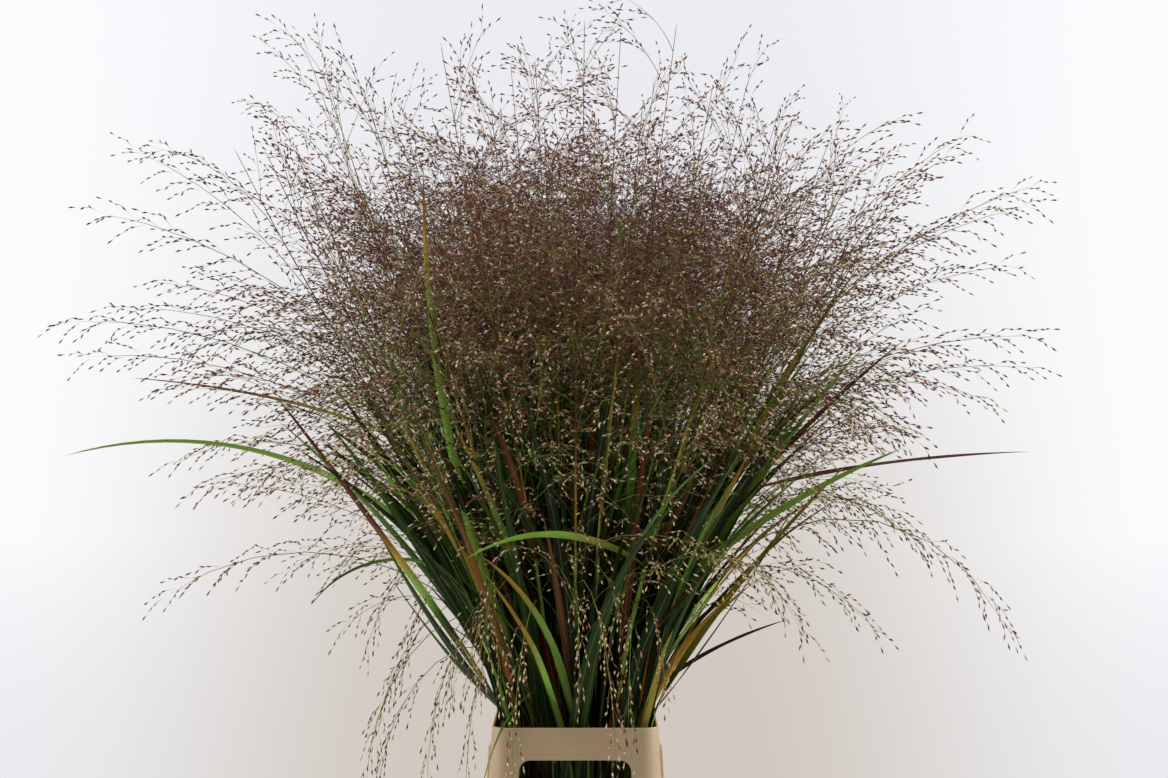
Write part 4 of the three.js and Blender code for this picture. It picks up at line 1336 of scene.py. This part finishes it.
def add_spikelets(collector, twigs, lengths, draws, sight, plain):
    """Spikelets in a row along the outer part of each twig, nearly in line with it."""
    amount = np.maximum(2, np.round(0.8 * lengths / SPIKELET_SPACING)).astype(int)
    twig, order = numbered(amount)
    share = 1 - (order + draws.uniform(0, 0.4, len(twig)) * (order > 0)) / amount[twig] * 0.8
    at, way = placed_at(twigs[twig], share)
    if sight:
        clear = sight.leaves(at, draws)
        at, way, order = at[clear], way[clear], order[clear]
    angles = np.radians(draws.uniform(8, 55 if plain else 32, len(at))) * (order > 0)
    out = turned_away(way, angles, draws.uniform(0, 2 * math.pi, len(at)))
    body = draws.uniform(*SPIKELET_LENGTHS, len(at))[:, None]
    girth = draws.uniform(*SPIKELET_GIRTHS, len(at))[:, None]
    tone = spikelet_tones(at, draws)
    if plain:
        sides = sliver_sides(at + out * 0.58 * body, out, 1.2 * girth[:, 0], draws)
        collector.add_slivers(at, sides, at + out * body, tone, SPIKELET, 3.2, 0.3)
        return
    for last in (True, False):
        chosen = (order == 0) == last
        stalk = STALK_LENGTH if last else 0.0
        start, way_out = at[chosen], out[chosen]
        bulge = start + way_out * (stalk + 0.5 * body[chosen])
        end = start + way_out * (stalk + body[chosen])
        spine = [start, start + way_out * stalk, bulge, end] if last else [start, bulge, end]
        size = np.broadcast_to(girth[chosen], (len(start), len(spine) - 1)).copy()
        size[:, :-1] = STALK_RADIUS
        collector.add(tube_rings(np.stack(spine, 1), size, 3)[:, 1:], tone[chosen], SPIKELET,
                      root=start, tip=end, shape=3.2, weight=0.3)


def spikelet_tones(places, draws):
    """Purple-brown in the cloud, and many pale ones low in front and at the back."""
    x, y, z = places.T
    wide, deep = np.interp(z, [row[0] for row in FLARE], [row[1] for row in FLARE]), np.hypot(x, y)
    shell = ((deep / wide - 0.55) / 0.5).clip(0, 1) * np.abs(y) / (deep + 1)
    pale_low, pale_high = PALE_HEIGHTS
    low = ((pale_high - z) / (pale_high - pale_low)).clip(0, 1)
    pale = draws.uniform(size=len(x)) < 0.10 + 0.44 * shell * low
    tone = np.where(pale, draws.uniform(0.6, 0.95, len(x)), draws.beta(1.5, 3.0, len(x)) * 0.6)
    green_low, green_high = GREEN_HEIGHTS
    green = 0.05 + 0.2 * ((green_high - z) / (green_high - green_low)).clip(0, 1)
    return np.where(draws.uniform(size=len(x)) < green, 1.0, tone)


def add_panicle(collector, stem, draws, sight):
    """The frame's branches with their twigs close about them, and those that fill the cloud."""
    add_branches(collector, stem, [plan for _, plan in stem.branches], draws, 0.6)
    fine, deep = [], []
    for plan in whorl_branches(stem, draws) + listed_for(stem, FRINGE_BRANCHES):
        is_deep = stem.reach < DEEP_REACH and plan.height < DEEP_HEIGHT
        (deep if is_deep else fine).append(plan)
    add_branches(collector, stem, listed_for(stem, DROOPING_BRANCHES), draws, 0.55)
    add_branches(collector, stem, fine, draws, 1.0, sight)
    add_branches(collector, stem, deep + core_branches(stem, draws), draws, 1.25, sight, plain=True)


def make_stems(materials):
    stems = grow_stems()
    sight = Sight([blade for stem in stems for blade in stem.blades if blade[1].tones])
    for stem in stems:
        random = Random(1000 + stem.index)
        draws = np.random.default_rng(2000 + stem.index)
        for _, plan in stem.blades:
            plan.tones = plan.tones or blade_tones(random)
        stem.blades += grow_more_blades(stem, MORE_BLADES, lambda n: outer_plan(stem, random, n))
        for plan in listed_for(stem, LEANING_BLADES):
            stem.blades.append((tilted_path(stem.axis_at(plan.height), plan), plan))
        if stem.index in CORNER_STEMS:
            stem.blades += grow_more_blades(stem, CORNER_BLADES, lambda n: corner_plan(stem, random))
        inner = grow_more_blades(stem, INNER_BLADES, lambda n: inner_plan(stem, random, n))
        collector = Collector()
        add_culm(collector, stem, random)
        add_side_shoots(collector, stem, random)
        add_blades(collector, stem.blades, random, FINE_SECTION, FINE_STATIONS)
        add_blades(collector, inner, random, PLAIN_SECTION, PLAIN_STATIONS)
        add_panicle(collector, stem, draws, sight)
        number = str(stem.index + 1).zfill(2)
        piece = collector.make("grass_" + number, materials)
        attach(piece, "root")
        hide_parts("stem_" + number)


# ---------------------------------------------------------------- the container

CORNER_STEPS = 12  # in each rounded corner
BUCKET_PROFILE = [  # half-width, half-depth, corner radius and height, up the outside and down inside
    (78, 122, 20, 0),
    (80.5, 124.5, 21, 0.6),
    (82, 126, 22, 2.4),
    (90, 134, 28, 164),
    (91.5, 135.5, 29, 165.2),
    (98.5, 142.5, 33, 165.6),
    (100, 144, 34, 167.5),
    (101, 145, 35, 192.5),
    (102, 146, 36, 193.2),
    (103, 147, 37, 195),
    (103, 147, 37, 198),
    (102, 146, 36, 199.7),
    (100.6, 144.6, 34.6, 200),
    (99.2, 143.2, 33.6, 199.4),
    (98.5, 142.5, 33, 197.5),
    (97.5, 141.5, 31.5, 170),
    (96, 140, 30.5, 168.2),
    (89.5, 133.5, 27, 168),
    (87.5, 131.5, 25.5, 166.5),
    (79.5, 123.5, 19.5, 4.5),
    (78, 122, 19, 3),
]
WATER_TOP = 62
WATER_ROWS = [  # height and inset from the bucket's inner face
    (3.6, 1.0), (WATER_TOP - 0.4, 0.3), (WATER_TOP, 0.3), (WATER_TOP - 0.4, 2.6), (WATER_TOP - 0.6, 7),
]
WATER_GAP = 2.8  # between the bucket's outside and its inner face
BUCKET_LEDGE = 165
BUCKET_SIZES = (82, 90), (126, 134), (22, 28)  # half-width, half-depth and corner, foot and ledge
WINDOW_TOP, WINDOW_BOTTOM, WINDOW_HALF_WIDTH, WINDOW_CORNER = 421, 250, 50.4, 10
RIB_TOP, RIB_BOTTOM, RIB_HALF_WIDTH, RIB_PLACE = 428, 206, 3, 62
LEDGE_TOP = 168.3
BEAD_HEIGHT, BEAD_SIZE = 428, 0.35  # a fine raised line round the collar
RIM_EASE = 0.9
COLLAR_ROWS = [  # height and inset, up the outside and down inside
    (LEDGE_TOP, 0.6),
    (LEDGE_TOP + 0.6, 0),
    (BEAD_HEIGHT - 1.2, 0),
    (BEAD_HEIGHT, -BEAD_SIZE),
    (BEAD_HEIGHT + 1.2, 0),
    (COLLAR_HEIGHT - RIM_EASE, 0),
    (COLLAR_HEIGHT - 0.25, 0.3),
    (COLLAR_HEIGHT, RIM_EASE),
    (COLLAR_HEIGHT, COLLAR_WALL - RIM_EASE),
    (COLLAR_HEIGHT - 0.25, COLLAR_WALL - 0.3),
    (COLLAR_HEIGHT - RIM_EASE, COLLAR_WALL),
    (LEDGE_TOP + 0.6, COLLAR_WALL),
    (LEDGE_TOP, COLLAR_WALL - 0.6),
]
RIB_ROWS = [  # height and how much it is drawn in
    (RIB_BOTTOM, 0.8), (RIB_BOTTOM + 1.2, 0), (RIB_TOP - 4, 0), (RIB_TOP - 1, 0.8), (RIB_TOP, 2.2),
]


def rounded_ring(half_x, half_y, corner, height, steps=CORNER_STEPS):
    """A level ring in the shape of a rectangle with round corners, counter-clockwise from above."""
    turns = (np.arange(4)[:, None] + np.linspace(0, 1, steps + 1)[None, :]).ravel() * math.pi / 2
    quarter = np.repeat(np.arange(4), steps + 1)
    side_x = np.where((quarter == 0) | (quarter == 3), 1, -1)
    side_y = np.where(quarter < 2, 1, -1)
    return np.stack([
        side_x * (half_x - corner) + corner * np.cos(turns),
        side_y * (half_y - corner) + corner * np.sin(turns),
        np.full(len(turns), height),
    ], axis=1)


def lofted(name, rings, closed=False):
    """An object with faces between rings, capped at both ends or closed on itself."""
    shape = bmesh.new()
    rows = [[shape.verts.new(point * MM) for point in ring] for ring in rings]
    pairs = list(zip(rows, rows[1:] + rows[:1])) if closed else list(zip(rows, rows[1:]))
    for low, high in pairs:
        for side in range(len(low)):
            after = (side + 1) % len(low)
            shape.faces.new((low[side], low[after], high[after], high[side]))
    if not closed:
        shape.faces.new(rows[0][::-1])
        shape.faces.new(rows[-1])
    mesh = bpy.data.meshes.new(name)
    shape.to_mesh(mesh)
    shape.free()
    mesh.shade_smooth()
    piece = bpy.data.objects.new(name, mesh)
    bpy.context.scene.collection.objects.link(piece)
    return piece


def apply_modifier(piece, kind, **settings):
    """Applies one modifier to the piece's mesh."""
    modifier = piece.modifiers.new(kind.lower(), kind)
    for key, value in settings.items():
        setattr(modifier, key, value)
    done = bpy.data.meshes.new_from_object(piece.evaluated_get(bpy.context.evaluated_depsgraph_get()))
    piece.modifiers.clear()
    old, piece.data = piece.data, done
    done.name = old.name
    bpy.data.meshes.remove(old)


def sharpen(piece, angle):
    """Marks the piece's edges and shades its flat faces flat up to the rounded ones."""
    piece.data.set_sharp_from_angle(angle=radians(angle))
    apply_modifier(piece, "WEIGHTED_NORMAL", weight=100, keep_sharp=True)


def make_bucket(material):
    bucket = lofted("bucket_shell", [rounded_ring(*row) for row in BUCKET_PROFILE])
    sharpen(bucket, 50)
    finish_piece(bucket, material, "bucket")


def make_water(material):
    """The water in the bucket, drawn up a little at its edge."""
    rings = []
    for height, inset in WATER_ROWS:
        share = height / BUCKET_LEDGE
        size = [mix(foot, ledge, share) - WATER_GAP - inset for foot, ledge in BUCKET_SIZES]
        rings.append(rounded_ring(*size, height))
    finish_piece(lofted("water_body", rings), material, "water")


def window_prism():
    """A block with round corners that passes through both windows."""
    low = WINDOW_HALF_WIDTH + COLLAR_DRAFT * (WINDOW_TOP - WINDOW_BOTTOM)
    radius = WINDOW_CORNER
    corners = [(-low, WINDOW_BOTTOM), (low, WINDOW_BOTTOM), (WINDOW_HALF_WIDTH, WINDOW_TOP),
               (-WINDOW_HALF_WIDTH, WINDOW_TOP)]
    outline = []
    for k, (x, z) in enumerate(corners):
        middle = np.array([x - math.copysign(radius, x), z + (radius if k < 2 else -radius)])
        for step in range(9):
            turn = math.pi * (1 + k / 2 + step / 16)
            outline.append(middle + radius * np.array([math.cos(turn), math.sin(turn)]))
    outline = np.array(outline)
    reach = 1.5 * COLLAR_TOP_HALF_Y
    rings = [np.stack([outline[:, 0], np.full(len(outline), y), outline[:, 1]], 1) for y in (reach, -reach)]
    return lofted("window_prism", rings)


def make_collar(material):
    """The collar: thin drafted walls with an eased rim, a fine bead, two windows and four ribs."""
    rings = []
    for height, inset in COLLAR_ROWS:
        half_x, half_y, corner = collar_outside(height)
        rings.append(rounded_ring(half_x - inset, half_y - inset, corner - inset, height))
    collar = lofted("collar_shell", rings, closed=True)
    cutter = window_prism()
    apply_modifier(collar, "BOOLEAN", operation="DIFFERENCE", object=cutter, solver="EXACT")
    bpy.data.objects.remove(cutter)
    apply_modifier(collar, "BEVEL", width=0.35 * MM, segments=2, limit_method="ANGLE",
                  angle_limit=radians(55))
    sharpen(collar, 32)
    finish_piece(collar, material, "collar")
    for number, (side, place) in enumerate(((-1, -1), (-1, 1), (1, -1), (1, 1)), start=1):
        rib = make_rib("collar_rib_" + str(number), side, place * RIB_PLACE)
        finish_piece(rib, material, "collar")


def make_rib(name, side, place):
    """One upright rib with a rounded back, sunk a little into the collar's wall."""
    turns = np.linspace(-math.pi / 2, math.pi / 2, 9)
    rings = []
    for height, ease in RIB_ROWS:
        face = collar_outside(height)[0]
        half = RIB_HALF_WIDTH - 0.4 * ease
        back = face + (RIB_STANDS_OUT - ease) * np.sqrt(np.maximum(np.cos(turns), 0))
        x = np.concatenate([[face - 1], back, [face - 1]])
        y = np.concatenate([[-half], half * np.sin(turns), [half]])
        ring = np.stack([side * x, place + y, np.full(len(x), height)], 1)
        rings.append(ring if side > 0 else ring[::-1])
    rib = lofted(name, rings)
    sharpen(rib, 50)
    return rib


def finish_piece(piece, material, node):
    piece.data.materials.clear()
    piece.data.materials.append(material)
    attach(piece, "root")
    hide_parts(node)


# ---------------------------------------------------------------- the stage

FLOOR_RADIUS, FLOOR_FADES = 2.2, (1.3, 2.15)
FLOOR_COLOURS = (178, 177, 174), (181, 180, 177)
SKY_REACH = 0.17  # the backdrop's height either side of level that the ramps below cover
# The backdrop straight ahead and at the sides, from low to high: the greyer, warmer colours low down, most
# of all in the middle, are painted shade.
SKY_MIDDLE_PAINTED_SHADE = [
    (0.0, (208, 199, 190)), (0.3, (212, 205, 200)), (0.6, (226, 224, 225)), (1.0, (236, 237, 243)),
]
SKY_SIDES = [(0.0, (234, 234, 238)), (0.25, (250, 251, 253)), (1.0, (251, 252, 254))]
SKY_LIGHT, SKY_STRENGTH = (1.0, 0.99, 0.97, 1), 0.23
LIGHTS = [  # name, place, what it points at, diameter and power
    ("side_left", (-2.4, -0.2, 1.7), (0, 0, 0.7), 1.6, 82),
    ("side_right", (2.4, -0.2, 1.7), (0, 0, 0.7), 1.6, 90),
    ("back_top", (0, 2.4, 2.2), (0, 0, 0.8), 1.6, 50),
    ("front_top", (-0.5, -2.0, 3.0), (0, 0, 0.7), 1.2, 17),
]


def make_floor():
    """A pale floor that fades out round the object."""
    bpy.ops.mesh.primitive_circle_add(vertices=96, radius=FLOOR_RADIUS, fill_type="TRIFAN")
    floor = bpy.context.object
    floor.name = "floor"
    floor.location.z = -0.0005
    paint = new_paint("floor")
    place = paint.place()
    distance = paint.node("VectorMath", {0: place}, operation="LENGTH").outputs["Value"]
    grain = paint.noise(place, 40.0, 3.0)
    colour = paint.tinted(linear(FLOOR_COLOURS[0]), FLOOR_COLOURS[1], grain, 0.3, 0.7)
    there = paint.spread(distance, *FLOOR_FADES, 1.0, 0.0)
    floor.data.materials.append(paint.finish(colour, 0.7, Alpha=there))


def make_world():
    """A bright backdrop for the camera, greyer low down and most of all low in the middle, where that grey
    is painted shade, and a dimmer sky that lights the object.
    """
    world = bpy.data.worlds.new("studio")
    bpy.context.scene.world = world
    world.use_nodes = True
    paint = Paint(world)
    parts = paint.node("SeparateXYZ", {0: paint.node("TexCoord").outputs["Generated"]}).outputs
    height = paint.spread(parts[2], -SKY_REACH, SKY_REACH)
    middle, sides = paint.ramp(height, SKY_MIDDLE_PAINTED_SHADE), paint.ramp(height, SKY_SIDES)
    # Painted shade: the backdrop is greyer low down behind the middle than at the sides.
    seen = paint.blend(paint.spread(paint.maths("ABSOLUTE", parts[0]), 0.05, 0.235), middle, sides)
    background = paint.tree.nodes["Background"]
    background.inputs["Strength"].default_value = 1.0
    light = paint.node("Background", {"Color": SKY_LIGHT, "Strength": SKY_STRENGTH})
    picked = paint.node("MixShader")
    paint.feed(background.inputs["Color"], seen)
    paint.feed(picked.inputs[0], paint.node("LightPath").outputs["Is Camera Ray"])
    paint.feed(picked.inputs[1], light.outputs[0])
    paint.feed(picked.inputs[2], background.outputs[0])
    paint.feed(paint.tree.nodes["World Output"].inputs["Surface"], picked.outputs[0])


def area_light(name, place, target, size, power):
    """A round light that the camera doesn't see."""
    data = bpy.data.lights.new(name, "AREA")
    data.shape = "DISK"
    data.size = size
    data.energy = power
    light = bpy.data.objects.new(name, data)
    light.location = place
    way = Vector([end - start for end, start in zip(target, place)])
    light.rotation_euler = way.to_track_quat("-Z", "Y").to_euler()
    light.visible_camera = False
    bpy.context.scene.collection.objects.link(light)


def make_camera():
    data = bpy.data.cameras.new("camera")
    data.lens = CAMERA_LENS
    data.sensor_width = CAMERA_SENSOR
    data.clip_start = 0.05
    data.clip_end = 100
    camera = bpy.data.objects.new("camera", data)
    camera.location = CAMERA_PLACE
    camera.rotation_euler = (math.pi / 2, 0, 0)
    bpy.context.scene.collection.objects.link(camera)
    bpy.context.scene.camera = camera


make_camera()
make_floor()
make_world()
for row in LIGHTS:
    area_light(*row)
bpy.context.scene.view_settings.view_transform = "Standard"

make_stems([leaf_material(), culm_material(), branch_material(), spikelet_material()])

make_collar(moulded_plastic("collar_plastic", *COLLAR_COLOURS, 0.42))
make_bucket(moulded_plastic("bucket_plastic", *BUCKET_COLOURS, 0.45))
make_water(water_material())
